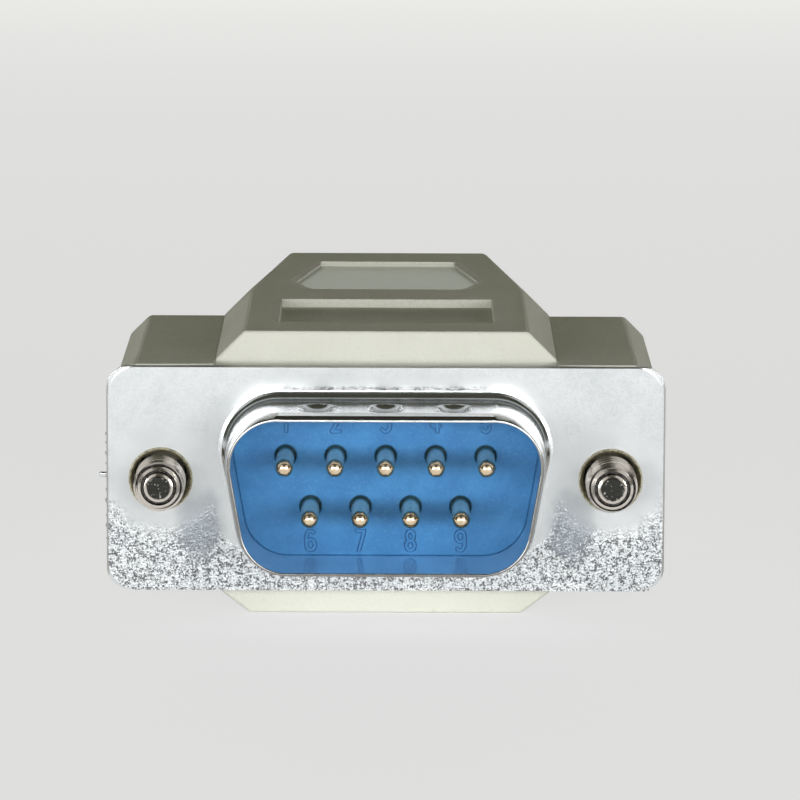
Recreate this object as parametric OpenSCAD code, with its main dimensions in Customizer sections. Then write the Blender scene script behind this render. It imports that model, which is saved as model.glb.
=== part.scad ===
// Nine-way male D-sub plug in a two-part plastic hood, in millimetres.
// +Z is up. The mating face looks towards -Y and the cable outlet towards +Y.
// The origin is the centre of the flange's front face, on the axis of the contacts.

/* [Contacts] */
// Distance between neighbouring contacts in a row
contact_pitch = 2.77; // [2.3:0.01:3.4]
// Distance between the two rows
row_gap = 2.84; // [2.3:0.01:3.5]
// Diameter of the mating pin
pin_d = 1.0; // [0.8:0.01:1.25]
// How far the pin tips stand in front of the flange
pin_reach = 4.95; // [4:0.05:5.6]
// Diameter of the collar that the insulators hold
contact_collar_d = 1.7; // [1.5:0.01:2.1]
// Outer diameter of the solder cup
cup_d = 1.9; // [1.6:0.01:2.2]
// Length of the solder cup
cup_len = 3.5; // [2.5:0.1:4.5]

/* [Front shell] */
// Thickness of the shell sheet
sheet = 0.35; // [0.28:0.01:0.45]
// Depth of the shroud in front of the flange
shroud_depth = 5.89; // [5.65:0.01:7.1]
// Room from the outer contacts' axes to the shroud's side
shroud_side = 2.92; // [2.7:0.01:3.6]
// Room from a row's axis to the shroud's top or bottom
shroud_over = 2.76; // [2.3:0.01:3.4]
// Corner radius inside the shroud
shroud_corner = 2.5; // [2:0.05:3]
// Slant of the shroud's sides
shroud_slant = 10; // [8:0.5:12]
// Radius of the bend where the shroud meets the flange
shroud_bend = 0.5; // [0.4:0.01:0.6]
// Width of a dimple
dimple_w = 1.7; // [1.3:0.05:2.1]
// Length of a dimple
dimple_len = 2.9; // [2.4:0.05:3.4]
// Depth of a dimple
dimple_deep = 0.28; // [0.2:0.01:0.34]
// Distance between neighbouring dimples
dimple_pitch = 3.75; // [3:0.05:4.5]

/* [Flange] */
// Room from the shroud's side to the axis of a flange hole
hole_room = 4.035; // [4:0.005:5]
// Room from the axis of a flange hole to the flange's end
flange_end = 2.91; // [2.6:0.01:3.5]
// Height of the flange over the shroud
flange_over = 2.095; // [1.8:0.005:2.6]
// Corner radius of the front flange
flange_corner = 1.6; // [1.2:0.05:2]
// Corner radius of the rear flange
rear_corner = 1.25; // [1:0.05:1.5]
// How far the rear flange stands out past the front one at each end
rear_proud = 0.12; // [0.08:0.01:0.2]

/* [Insulators and rear shell] */
// How far the blue face stands in front of the flange
face_proud = 0.5; // [0.4:0.01:0.7]
// How far the rear shell's box stands out around the shroud's outline
box_grow = 1.15; // [1.05:0.01:1.35]
// Depth of the rear shell's back face
box_back = 5.3; // [4.8:0.05:6.3]
// Depth of the joint between the two insulators
joint_depth = 2.5; // [2.1:0.05:3]
// How far the rear insulator stands out of the rear shell
tail_block = 1.6; // [1:0.1:2]

/* [Eyelets] */
// Bore of an eyelet
eyelet_bore = 3.05; // [2.98:0.01:3.2]
// Wall of an eyelet
eyelet_wall = 0.17; // [0.14:0.01:0.2]
// How far the front lip reaches past the barrel
eyelet_lip = 0.09; // [0.07:0.01:0.12]
// How far the rear flare reaches past the barrel
eyelet_flare = 0.28; // [0.2:0.01:0.3]

/* [Jackscrews] */
// Outer diameter of the thread
thread_d = 2.84; // [2.5:0.01:2.9]
// How far the tip stands in front of the flange
screw_reach = 3.0; // [2.6:0.1:4]
// Diameter of the flat at the tip
tip_d = 1.3; // [1:0.05:1.6]
// Diameter of the shank
shank_d = 2.4; // [2.1:0.05:2.6]
// Diameter of the neck that the clip sits on
neck_d = 1.9; // [1.6:0.05:2]
// Diameter of the head
head_d = 5.0; // [4.2:0.1:6]
// Length of the head
head_len = 14; // [10:0.5:18]
// Number of grooves around the head
knurl_count = 20; // [12:1:28]
// Travel of a jackscrew in the hood
screw_travel = 4.0; // [3.2:0.1:4.8]
// Side of the square clip
clip_side = 3.4; // [3.1:0.05:3.6]
// Thickness of the clip
clip_t = 0.8; // [0.6:0.05:1]

/* [Hood] */
// Height of the hood
hood_h = 16; // [15:0.1:20]
// Depth of the centre body's front face
body_front = 2.2; // [1.8:0.05:2.7]
// Depth of the ears' rear face
ear_back = 19.5; // [18:0.1:24]
// Depth of the hood's rear end
hood_back = 35; // [33.5:0.1:42]
// Room from an ear's outer side to the axis of the jackscrew
ear_side = 2.6; // [2.5:0.05:3.2]
// How far the ears stand above the flange
ear_over = 0.085; // [0.05:0.005:0.2]
// Width and height of the ears' chamfers
ear_chamfer = 1.15; // [0.8:0.05:1.5]
// Gap between a jackscrew's head and the centre body
head_gap = 0.42; // [0.3:0.01:0.8]
// Chamfer of the upper half, its width and height
top_chamfer = [1.64, 1.64]; // [1:0.02:2.4]
// Chamfer of the lower half, its width and height
bottom_chamfer = [1.95, 1.5]; // [1:0.02:2.4]
// Angle at which the sides of the rear part draw in
taper = 7.3; // [4:0.1:8.5]
// Cut corner at the rear end
rear_cut = 0.8; // [0.4:0.05:1.2]
// Wall thickness of the hood
hood_wall = 1.4; // [1.2:0.05:1.7]
// Diameter of the cable outlet
outlet_d = 7; // [5.8:0.1:8]
// Height of the lip where the halves lap
lip_h = 0.7; // [0.5:0.05:1]
// Thickness of that lip
lip_t = 0.5; // [0.4:0.02:0.6]

/* [Recesses in the top] */
// Width of the front recess
slot_w = 12.1; // [9:0.1:13]
// Depth where the front recess begins
slot_front = 5.7; // [5:0.1:7]
// Length of the front recess
slot_len = 9.2; // [7.5:0.1:11]
// Depth of the front recess
slot_deep = 0.5; // [0.3:0.05:0.6]
// Width of the rear recess at its widest
panel_w = 11; // [8:0.1:11.5]
// Width of the rear recess at its rear edge
panel_rear_w = 8.1; // [6:0.1:9]
// Length of the straight-sided stretch of the rear recess
panel_len = 8.2; // [6:0.1:9]
// Room from the rear recess to the hood's rear end
panel_room = 4.0; // [3:0.1:5]
// How far the curved front edge of the rear recess bows out
panel_bow = 3.1; // [2:0.1:3.6]
// Depth of the rear recess
panel_deep = 0.3; // [0.2:0.02:0.4]

/* [Screws and clamp] */
// Diameter of the screws that hold the halves
hood_screw_d = 2.0; // [1.7:0.05:2.3]
// Head diameter of those screws
hood_screw_head = 3.8; // [3.2:0.1:4.2]
// Depth at which those screws stand
hood_screw_y = 13.5; // [12.5:0.1:15]
// Depth of the cable clamp's middle
clamp_y = 26; // [24:0.1:27]
// Width of the clamp along the cable
clamp_w = 3; // [2.4:0.1:3.6]
// Diameter of cable that the clamp leaves room for
clamp_bore = 6; // [5:0.1:6.4]
// Diameter of the clamp screws
clamp_screw_d = 1.7; // [1.4:0.05:1.9]
// Head diameter of the clamp screws
clamp_screw_head = 2.9; // [2.4:0.1:3]

/* [Hidden] */
$fn = 64;

// Clearances
slip = 0.05;
room = 0.1;
snug = 0.01;
hair = 0.003;
far = 60;

// The D outline: its inner size and the centres of its corner arcs
top_count = 5;
shroud_w = (top_count - 1) * contact_pitch + 2 * shroud_side;
shroud_h = row_gap + 2 * shroud_over;
corner_z = shroud_h / 2 - shroud_corner;
corner_top_x = shroud_w / 2 - shroud_corner;
corner_low_x = corner_top_x - 2 * corner_z * tan(shroud_slant);

// Flange and the depths of its two sheets
hole_x = shroud_w / 2 + hole_room;
flange_w = 2 * (hole_x + flange_end);
flange_h = shroud_h + 2 * flange_over;
stack = 2 * sheet;

// Insulators and contacts
lip_grow = -0.25;
block_grow = box_grow - sheet - slip;
pin_bore = pin_d / 2 + 0.09;
body_r = pin_d / 2 + 0.05;
collar_half = 0.3;
tail_end = box_back + tail_block;

// Jackscrew, clip and the pocket that the clip runs in
thread_end = 0.15;
tip_len = 0.5;
thread_room = screw_travel + 1;
clip_front = 10.1;
pocket_half = clip_side / 2 + room;
head_front = ear_back + room;
head_r = head_d / 2;

// Hood
hood_half = hood_h / 2;
body_half = hole_x - head_r - head_gap;
ear_half_h = flange_h / 2 + ear_over;
ear_out = hole_x + ear_side;
body_rear_half = body_half - (hood_back - ear_back) * tan(taper);
cavity_half = body_half - hood_wall;
floor_z = hood_half - hood_wall;
pocket_back = box_back + 2 * slip;
boss_r = 1.6;
boss_x = cavity_half - boss_r + 0.3;
pad_r = hood_screw_head / 2 + 0.6;
screw_seat = 1.7;
screw_bite = 4.5;
clamp_narrow = (clamp_y + clamp_w / 2 - ear_back) * tan(taper);
clamp_half = cavity_half - clamp_narrow - 0.15;
clamp_x = clamp_half - clamp_screw_head / 2 - room;
post_top = 0.9;
bar_t = 1.4;
arch_t = 1.3;

// Points of an arc about c, from angle a0 to a1
function arc(c, r, a0, a1, n) = [
    for (i = [0 : n])
        let (a = a0 + (a1 - a0) * i / n)
        [c[0] + r * cos(a), c[1] + r * sin(a)]
];

// A list of points, mirrored left to right and in reverse order
function mirrored(p) = [for (i = [len(p) - 1 : -1 : 0]) [-p[i][0], p[i][1]]];

// Place of contact n, as [x, z]: 1 to 5 in the upper row, 6 to 9 below
function contact_at(n) = n <= top_count
    ? [(n - (top_count + 1) / 2) * contact_pitch, row_gap / 2]
    : [(n - top_count - top_count / 2) * contact_pitch, -row_gap / 2];

// A flat shape in X and Z, made solid from depth y0 to y1
module slab(y0, y1) {
    rotate([90, 0, 0])
        translate([0, 0, -y1])
            linear_extrude(y1 - y0)
                children();
}

// A round bar along Y at [x, z], from depth y0 to y1
module rod(at, y0, y1, r, r_end = undef) {
    translate([at[0], y0, at[1]])
        rotate([-90, 0, 0])
            cylinder(h = y1 - y0, r1 = r, r2 = is_undef(r_end) ? r : r_end);
}

// The D outline, grown by g
module d_outline(g) {
    r = shroud_corner + g;
    flat = r - hair;
    c = flat * cos(shroud_slant);
    n = flat * sin(shroud_slant);
    right = [
        [corner_top_x, corner_z + flat],
        [corner_top_x + c, corner_z - n],
        [corner_low_x + c, -corner_z - n],
        [corner_low_x, -corner_z - flat]
    ];
    polygon(concat(right, mirrored(right)));
    for (side = [-1, 1]) {
        translate([side * corner_top_x, corner_z])
            circle(r);
        translate([side * corner_low_x, -corner_z])
            circle(r);
    }
}

module rounded_plate(w, h, r) {
    square([w - 2 * hair, h - 2 * r], center = true);
    square([w - 2 * r, h - 2 * hair], center = true);
    for (i = [-1, 1]) {
        for (j = [-1, 1]) {
            translate([i * (w / 2 - r), j * (h / 2 - r)])
                circle(r);
        }
    }
}

// Sweeps a profile of [distance out from the D outline, depth] around the D
module around_d() {
    side = 2 * corner_z / cos(shroud_slant);
    extra = 6;
    rotate([90, 0, 0]) {
        for (m = [0, 1]) {
            mirror([m, 0, 0]) {
                translate([corner_top_x, corner_z, 0])
                    rotate([0, 0, -shroud_slant - extra])
                        rotate_extrude(angle = 90 + shroud_slant + 2 * extra)
                            at_corner(0) children();
                translate([corner_low_x, -corner_z, 0])
                    rotate([0, 0, -90 - extra])
                        rotate_extrude(angle = 90 - shroud_slant + 2 * extra)
                            at_corner(0) children();
                translate([corner_top_x, corner_z, 0])
                    rotate([0, 0, -shroud_slant])
                        straight(side)
                            at_corner(hair) children();
            }
        }
        translate([-corner_top_x, corner_z, 0])
            rotate([0, 0, 90])
                straight(2 * corner_top_x)
                    at_corner(hair) children();
        translate([corner_low_x, -corner_z, 0])
            rotate([0, 0, -90])
                straight(2 * corner_low_x)
                    at_corner(hair) children();
    }
}

module at_corner(inset) {
    translate([shroud_corner - inset, 0])
        mirror([0, 1])
            children();
}

module straight(length) {
    rotate([90, 0, 0])
        linear_extrude(length)
            children();
}

// A capsule along Y, used for the dimples
module capsule(at, y0, y1, r) {
    rod(at, y0, y1, r);
    for (y = [y0, y1]) {
        translate([at[0], y, at[1]])
            rotate([90, 0, 0])
                sphere(r, $fn = 32);
    }
}

module flange_sheet(w, h, r) {
    difference() {
        rounded_plate(w, h, r);
        for (s = [-1, 1]) {
            translate([s * hole_x, 0])
                circle(eyelet_bore / 2 + eyelet_wall);
        }
    }
}

// Profile of the bent root between the shroud and the flange
module root_fillet() {
    difference() {
        translate([sheet / 2, -shroud_bend])
            square([sheet / 2 + shroud_bend, shroud_bend + sheet / 2]);
        translate([sheet + shroud_bend, -shroud_bend])
            circle(shroud_bend + snug);
    }
}

module front_shell() {
    dent_r = (pow(dimple_w / 2, 2) + pow(dimple_deep, 2)) / (2 * dimple_deep);
    dent_z = shroud_h / 2 + sheet - dimple_deep + dent_r;
    dent_half = (dimple_len - dimple_w) / 2;
    dent_y = -shroud_depth + dimple_len / 2 + 0.75;
    color("lightgray") {
        difference() {
            union() {
                difference() {
                    union() {
                        slab(0, sheet)
                            flange_sheet(flange_w, flange_h, flange_corner);
                        slab(-shroud_depth, sheet / 2)
                            d_outline(sheet);
                        around_d()
                            root_fillet();
                    }
                    slab(-shroud_depth - 1, sheet + 1)
                        d_outline(0);
                }
                intersection() {
                    union() {
                        for (i = [-1 : 1]) {
                            capsule(
                                [i * dimple_pitch, dent_z],
                                dent_y - dent_half,
                                dent_y + dent_half,
                                dent_r + sheet
                            );
                        }
                    }
                    translate([-corner_top_x, room - shroud_depth, 0])
                        cube([2 * corner_top_x, shroud_depth - 2 * room, shroud_h / 2 + sheet / 2]);
                }
            }
            for (i = [-1 : 1]) {
                capsule(
                    [i * dimple_pitch, dent_z],
                    dent_y - dent_half,
                    dent_y + dent_half,
                    dent_r
                );
            }
        }
    }
}

module rear_shell() {
    tab_w = 0.4;
    tab_h = 0.3;
    rear_half = flange_w / 2 + rear_proud;
    color("silver") {
        difference() {
            union() {
                slab(sheet, stack) {
                    flange_sheet(2 * rear_half, flange_h, rear_corner);
                    translate([-rear_half - tab_w, 0])
                        square([2 * tab_w, tab_h]);
                }
                slab((sheet + stack) / 2, box_back)
                    d_outline(box_grow);
            }
            slab(sheet - 1, box_back - sheet)
                d_outline(box_grow - sheet);
            slab(sheet - 1, box_back + 1)
                d_outline(lip_grow);
        }
    }
}

module front_insulator() {
    color("steelblue") {
        difference() {
            union() {
                slab(-face_proud, sheet)
                    d_outline(-slip);
                slab(sheet, joint_depth)
                    d_outline(block_grow);
            }
            for (n = [1 : 9]) {
                at = contact_at(n);
                rod(at, -face_proud - room, joint_depth + room, pin_bore);
                rod(at, -face_proud, -face_proud + 0.12, pin_bore + 0.06, pin_bore);
                rod(at, joint_depth - collar_half, joint_depth + room, contact_collar_d / 2 + snug);
            }
        }
    }
}

module rear_insulator() {
    color("steelblue") {
        difference() {
            union() {
                slab(joint_depth, box_back - sheet)
                    d_outline(block_grow);
                slab(box_back - sheet, tail_end)
                    d_outline(lip_grow - slip);
            }
            for (n = [1 : 9]) {
                at = contact_at(n);
                rod(at, joint_depth - room, tail_end + room, body_r + snug);
                rod(at, joint_depth - room, joint_depth + collar_half, contact_collar_d / 2 + snug);
            }
        }
    }
}

// A turned contact: pin, body, collar, tail and an open solder cup
module contact(n) {
    at = contact_at(n);
    up = at[1] > 0 ? 1 : -1;
    pin_r = pin_d / 2;
    cup_front = tail_end + room;
    cup_back = cup_front + cup_len;
    cup_r = cup_d / 2;
    cup_bore = cup_r - 0.32;
    color("gold") {
        difference() {
            union() {
                translate([at[0], -pin_reach + pin_r, at[1]])
                    sphere(pin_r);
                rod(at, -pin_reach + pin_r, -face_proud + 0.15, pin_r);
                rod(at, -face_proud + 0.15, cup_front, body_r);
                rod(at, joint_depth - collar_half, joint_depth + collar_half, contact_collar_d / 2);
                rod(at, cup_front, cup_back, cup_r);
            }
            rod(at, cup_front + 0.6, cup_back + room, cup_bore);
            translate([at[0] - cup_d, cup_front + cup_len * 0.4, at[1] + (up > 0 ? 0.15 : -0.15 - cup_d)])
                cube([2 * cup_d, cup_len, cup_d]);
        }
    }
}

module eyelet(side) {
    at = [side * hole_x, 0];
    bore_r = eyelet_bore / 2;
    barrel_r = bore_r + eyelet_wall - snug;
    lip_proud = 0.1;
    flare_t = 0.15;
    color("tan") {
        difference() {
            union() {
                rod(at, -lip_proud, 0, barrel_r + eyelet_lip);
                rod(at, 0, stack, barrel_r);
                rod(at, stack, stack + flare_t, barrel_r + eyelet_flare);
            }
            rod(at, -1, stack + 1, bore_r);
        }
    }
}

// A captive screw: chamfered tip, thread, shank, clip neck and knurled head with a slot
module jackscrew(side) {
    at = [side * hole_x, 0];
    thread_r = thread_d / 2;
    shank_r = shank_d / 2;
    clip_back = clip_front + clip_t;
    head_back = head_front + head_len;
    groove_r = 0.22;
    cap = 1;
    slot_width = 0.9;
    color("gainsboro") {
        difference() {
            union() {
                rod(at, -screw_reach, tip_len - screw_reach, tip_d / 2, thread_r);
                rod(at, tip_len - screw_reach, -thread_end, thread_r);
                rod(at, -thread_end, thread_r - shank_r - thread_end, thread_r, shank_r);
                rod(at, thread_r - shank_r - thread_end, clip_front - slip, shank_r);
                rod(at, clip_front - slip, clip_back + slip, neck_d / 2);
                rod(at, clip_back + slip, head_front, shank_r);
                rod(at, head_front, head_front + cap, head_r - 2 * groove_r, head_r);
                rod(at, head_front + cap, head_back - 0.4, head_r);
                rod(at, head_back - 0.4, head_back, head_r, head_r - 0.4);
            }
            for (i = [1 : knurl_count]) {
                a = 360 * i / knurl_count;
                rod(
                    [at[0] + head_r * cos(a), head_r * sin(a)],
                    head_front + cap,
                    head_back - cap,
                    groove_r
                );
            }
            translate([at[0] - head_d, head_back - 1.6, -slot_width / 2])
                cube([2 * head_d, 2, slot_width]);
        }
    }
}

// A slotted square clip that rides in the neck of its jackscrew
module screw_clip(side) {
    at = [side * hole_x, 0];
    bore_r = neck_d / 2 + slip;
    color("dimgray") {
        slab(clip_front, clip_front + clip_t) {
            translate([at[0], 0]) {
                difference() {
                    square(clip_side, center = true);
                    circle(bore_r);
                    translate([-bore_r, 0])
                        square([2 * bore_r, clip_side]);
                }
            }
        }
    }
}

// Cross-section of all that lies beyond a chamfer: c is its width and height, g an inset
module chamfer_beyond(half_w, half_h, c, g) {
    length = norm(c);
    along = [-c[0], c[1]] / length;
    out = [c[1], c[0]] / length;
    p = [half_w, half_h - c[1]] - g * out;
    polygon([
        p - far * along,
        p + far * along,
        p + far * along + far * out,
        p - far * along + far * out
    ]);
}

// Turns its children from the straight side to the tapered one
module tapered() {
    translate([body_half, ear_back, 0])
        rotate([0, 0, taper])
            translate([-body_half, -ear_back, 0])
                children();
}

// The centre body from depth y0 to y1, with every wall moved in by g
module body_block(g, y0, y1) {
    half_h = hood_half - g;
    difference() {
        translate([g - body_half, y0, -half_h])
            cube([2 * (body_half - g), y1 - y0, 2 * half_h]);
        for (m = [0, 1]) {
            mirror([m, 0, 0]) {
                slab(-far, far)
                    chamfer_beyond(body_half, hood_half, top_chamfer, g);
                slab(-far, far)
                    mirror([0, 1])
                        chamfer_beyond(body_half, hood_half, bottom_chamfer, g);
                tapered() {
                    slab(-far, far)
                        chamfer_beyond(body_half, hood_half, top_chamfer, g);
                    slab(-far, far)
                        mirror([0, 1])
                            chamfer_beyond(body_half, hood_half, bottom_chamfer, g);
                    translate([body_half - g, -far, -far])
                        cube([far, 2 * far, 2 * far]);
                }
                translate([body_rear_half - g, hood_back - rear_cut - g, -far])
                    rotate([0, 0, 45])
                        translate([0, -far, 0])
                            cube([far, 2 * far, 2 * far]);
            }
        }
    }
}

// One ear's cross-section, from x = inner outwards
module ear_section(inner) {
    polygon([
        [inner, -ear_half_h],
        [ear_out - ear_chamfer, -ear_half_h],
        [ear_out, ear_chamfer - ear_half_h],
        [ear_out, ear_half_h - ear_chamfer],
        [ear_out - ear_chamfer, ear_half_h],
        [inner, ear_half_h]
    ]);
}

// Room in one ear for the eyelet's flare, the thread, the shank and the clip
module screw_room(side) {
    at = [side * hole_x, 0];
    flare_r = eyelet_bore / 2 + eyelet_wall + eyelet_flare + room;
    rod(at, 0, stack + 0.25, flare_r);
    rod(at, 0, thread_room, thread_d / 2 + 0.13);
    rod(at, thread_room - 1, ear_back + 1, shank_d / 2 + 0.15);
    slab(clip_front - room, clip_front + clip_t + screw_travel + room)
        translate([at[0], 0])
            square(2 * pocket_half, center = true);
}

// Both halves of the hood in one piece, before they are parted
module hood_whole() {
    difference() {
        union() {
            body_block(0, body_front, hood_back);
            for (m = [0, 1]) {
                mirror([m, 0, 0]) {
                    slab(stack, body_front)
                        ear_section(body_half);
                    slab(body_front, ear_back)
                        ear_section(cavity_half);
                }
            }
        }
        slab(0, pocket_back)
            d_outline(box_grow + room);
        slab(pocket_back - room, tail_end + room)
            d_outline(lip_grow + room);
        body_block(hood_wall, pocket_back - room, hood_back - hood_wall);
        rod([0, 0], clamp_y, hood_back + 1, outlet_d / 2);
        for (side = [-1, 1]) {
            screw_room(side);
        }
    }
}

// The lap between the halves: a band of the wall, next to the cavity
module lip_band(t, z0, z1) {
    difference() {
        intersection() {
            body_block(hood_wall - t, pocket_back, hood_back - hood_wall + t);
            translate([-far, pocket_back + 1, z0])
                cube([2 * far, far, z1 - z0]);
        }
        body_block(hood_wall, 0, hood_back - hood_wall);
        rod([0, 0], clamp_y, hood_back + 1, outlet_d / 2 + room);
    }
}

// Keeps what stands inside the hood within the middle of its wall
module inside() {
    intersection() {
        union() {
            children();
        }
        body_block(hood_wall / 2, pocket_back, hood_back - hood_wall / 2);
    }
}

module top_recesses() {
    panel_back = hood_back - panel_room;
    panel_front = panel_back - panel_len;
    half = panel_w / 2;
    bow_r = (half * half + panel_bow * panel_bow) / (2 * panel_bow);
    bow_a = asin(half / bow_r);
    translate([-slot_w / 2, slot_front, hood_half - slot_deep])
        cube([slot_w, slot_len, slot_deep + 1]);
    translate([0, 0, hood_half - panel_deep])
        linear_extrude(panel_deep + 1)
            polygon(concat(
                [[panel_rear_w / 2, panel_back], [-panel_rear_w / 2, panel_back]],
                arc([0, panel_front - panel_bow + bow_r], bow_r, 270 - bow_a, 270 + bow_a, 24)
            ));
}

module hood_top() {
    color("antiquewhite") {
        difference() {
            union() {
                difference() {
                    hood_whole();
                    translate([-far, -far, -2 * far])
                        cube(2 * far);
                    top_recesses();
                }
                inside() {
                    for (side = [-1, 1]) {
                        translate([side * boss_x, hood_screw_y, 0])
                            cylinder(h = hood_half, r = boss_r);
                    }
                }
            }
            lip_band(lip_t + slip, -1, lip_h + room);
            for (side = [-1, 1]) {
                translate([side * boss_x, hood_screw_y, -1])
                    cylinder(h = screw_bite + 1.5, r = hood_screw_d / 2 + snug);
            }
        }
    }
}

module hood_bottom() {
    post_r = clamp_screw_head / 2 + slip;
    saddle_half = clamp_bore / 2 + 0.4;
    color("antiquewhite") {
        difference() {
            union() {
                difference() {
                    hood_whole();
                    translate([-far, -far, 0])
                        cube(2 * far);
                }
                lip_band(lip_t, -room, lip_h);
                inside() {
                    for (side = [-1, 1]) {
                        translate([side * boss_x, hood_screw_y, -hood_half])
                            cylinder(h = hood_half, r = boss_r);
                        translate([side * boss_x, hood_screw_y, -hood_half])
                            cylinder(h = hood_wall + 1.3, r = pad_r);
                        translate([side * clamp_x, clamp_y, -hood_half])
                            cylinder(h = hood_half + post_top, r = post_r);
                    }
                    translate([-saddle_half, clamp_y - 1.2, -hood_half])
                        cube([2 * saddle_half, 2.4, hood_half - 1.6]);
                }
            }
            for (side = [-1, 1]) {
                translate([side * boss_x, hood_screw_y, -hood_half - 1])
                    cylinder(h = hood_half + 2, r = hood_screw_d / 2 + room);
                translate([side * boss_x, hood_screw_y, -hood_half - 1])
                    cylinder(h = 1 + screw_seat, r = hood_screw_head / 2 + room);
                translate([side * clamp_x, clamp_y, post_top - 4])
                    cylinder(h = 5, r = clamp_screw_d / 2 + snug);
            }
            rod([0, 0], clamp_y - 3, clamp_y + 3, clamp_bore / 2);
        }
    }
}

// A pan-head screw with a cross slot, standing on z = 0 with its head above
module screw(d, head, head_h, length) {
    slot_width = 0.35 * d;
    slot_deep = 0.5 * head_h;
    difference() {
        union() {
            cylinder(h = head_h * 0.6, r = head / 2);
            translate([0, 0, head_h * 0.6])
                cylinder(h = head_h * 0.4, r1 = head / 2, r2 = head / 2 - head_h * 0.4);
            translate([0, 0, -length])
                cylinder(h = length, r = d / 2);
        }
        for (a = [0, 90]) {
            rotate([0, 0, a])
                translate([-head * 0.32, -slot_width / 2, head_h - slot_deep])
                    cube([head * 0.64, slot_width, head_h]);
        }
    }
}

module hood_screw(side) {
    head_h = 1.3;
    color("gray") {
        translate([side * boss_x, hood_screw_y, screw_seat - hood_half])
            rotate([180, 0, 0])
                screw(hood_screw_d, hood_screw_head, head_h, hood_half - screw_seat + screw_bite);
    }
}

module cable_clamp() {
    ends_top = post_top + bar_t;
    arch_top = clamp_bore / 2 + arch_t;
    arch_half = clamp_x - clamp_screw_head / 2 - slip;
    color("lightsteelblue") {
        difference() {
            slab(clamp_y - clamp_w / 2, clamp_y + clamp_w / 2) {
                polygon([
                    [-clamp_half, post_top],
                    [clamp_half, post_top],
                    [clamp_half, ends_top],
                    [arch_half, ends_top],
                    [arch_half - 0.5, arch_top],
                    [0.5 - arch_half, arch_top],
                    [-arch_half, ends_top],
                    [-clamp_half, ends_top]
                ]);
            }
            rod([0, 0], clamp_y - clamp_w, clamp_y + clamp_w, clamp_bore / 2);
            for (side = [-1, 1]) {
                translate([side * clamp_x, clamp_y, 0])
                    cylinder(h = 2 * ends_top, r = clamp_screw_d / 2 + room);
            }
        }
    }
}

module clamp_screw(side) {
    color("gray") {
        translate([side * clamp_x, clamp_y, post_top + bar_t])
            screw(clamp_screw_d, clamp_screw_head, 1.1, bar_t + 3.5);
    }
}

front_shell();
rear_shell();
front_insulator();
rear_insulator();
contact(1);  // contact_1
contact(2);  // contact_2
contact(3);  // contact_3
contact(4);  // contact_4
contact(5);  // contact_5
contact(6);  // contact_6
contact(7);  // contact_7
contact(8);  // contact_8
contact(9);  // contact_9
eyelet(-1);  // eyelet_left
eyelet(1);  // eyelet_right
jackscrew(-1);  // jackscrew_left
jackscrew(1);  // jackscrew_right
screw_clip(-1);  // screw_clip_left
screw_clip(1);  // screw_clip_right
hood_top();
hood_bottom();
hood_screw(-1);  // hood_screw_left
hood_screw(1);  // hood_screw_right
cable_clamp();
clamp_screw(-1);  // clamp_screw_left
clamp_screw(1);  // clamp_screw_right
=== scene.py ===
import bpy
import bmesh
import math
from mathutils import Matrix, Vector
from mathutils.geometry import intersect_point_line


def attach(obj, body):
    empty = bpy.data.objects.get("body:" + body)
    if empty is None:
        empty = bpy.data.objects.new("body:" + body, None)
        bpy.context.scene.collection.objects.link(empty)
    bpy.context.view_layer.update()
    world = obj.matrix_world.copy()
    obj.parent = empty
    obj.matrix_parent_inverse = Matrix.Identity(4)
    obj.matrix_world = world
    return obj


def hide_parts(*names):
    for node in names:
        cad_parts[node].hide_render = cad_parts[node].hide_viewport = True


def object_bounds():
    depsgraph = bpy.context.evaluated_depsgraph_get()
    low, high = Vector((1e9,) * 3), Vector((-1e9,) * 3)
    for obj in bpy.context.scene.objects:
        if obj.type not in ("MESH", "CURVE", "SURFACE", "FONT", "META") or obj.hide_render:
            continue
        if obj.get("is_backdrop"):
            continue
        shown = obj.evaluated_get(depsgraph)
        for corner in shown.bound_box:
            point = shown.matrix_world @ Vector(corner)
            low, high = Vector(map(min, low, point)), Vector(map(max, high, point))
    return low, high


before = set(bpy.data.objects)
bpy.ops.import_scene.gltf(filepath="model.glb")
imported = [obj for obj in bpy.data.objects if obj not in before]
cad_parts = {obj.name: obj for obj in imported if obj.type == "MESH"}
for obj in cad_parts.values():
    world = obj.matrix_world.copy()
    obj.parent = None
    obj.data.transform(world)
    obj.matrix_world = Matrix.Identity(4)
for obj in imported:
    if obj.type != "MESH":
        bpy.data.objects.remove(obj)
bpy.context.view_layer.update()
mm = 0.001
close = 0.01   # mm, how far off a point may be and still count as on a plane

# Everything is modelled in millimetres and brought down to metres when it is finished.
# X is to the right, Z is up, and the mating face looks towards -Y.


def leaveEdit():
    if bpy.context.object and bpy.context.object.mode != "OBJECT":
        bpy.ops.object.mode_set(mode="OBJECT")


def clearSelection():
    leaveEdit()
    bpy.ops.object.select_all(action="DESELECT")


def focus(piece):
    clearSelection()
    piece.select_set(True)
    bpy.context.view_layer.objects.active = piece


# Goes into edit mode with the whole piece selected
def editAll(piece):
    focus(piece)
    bpy.ops.object.mode_set(mode="EDIT")
    bpy.ops.mesh.select_all(action="SELECT")


# Goes into edit mode with only what passes the test selected
def choose(piece, kind, test):
    focus(piece)
    bpy.ops.object.mode_set(mode="EDIT")
    bpy.ops.mesh.select_mode(type=kind)
    bpy.ops.mesh.select_all(action="DESELECT")
    net = bmesh.from_edit_mesh(piece.data)
    net.normal_update()
    for part in {"VERT": net.verts, "EDGE": net.edges, "FACE": net.faces}[kind]:
        if test(part):
            part.select_set(True)
    if kind != "VERT":
        net.select_flush_mode()
    bmesh.update_edit_mesh(piece.data)


def middle(part):
    if isinstance(part, bmesh.types.BMEdge):
        return (part.verts[0].co + part.verts[1].co) / 2
    return part.calc_center_median()


def edgeWay(edge):
    return (edge.verts[1].co - edge.verts[0].co).normalized()


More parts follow.
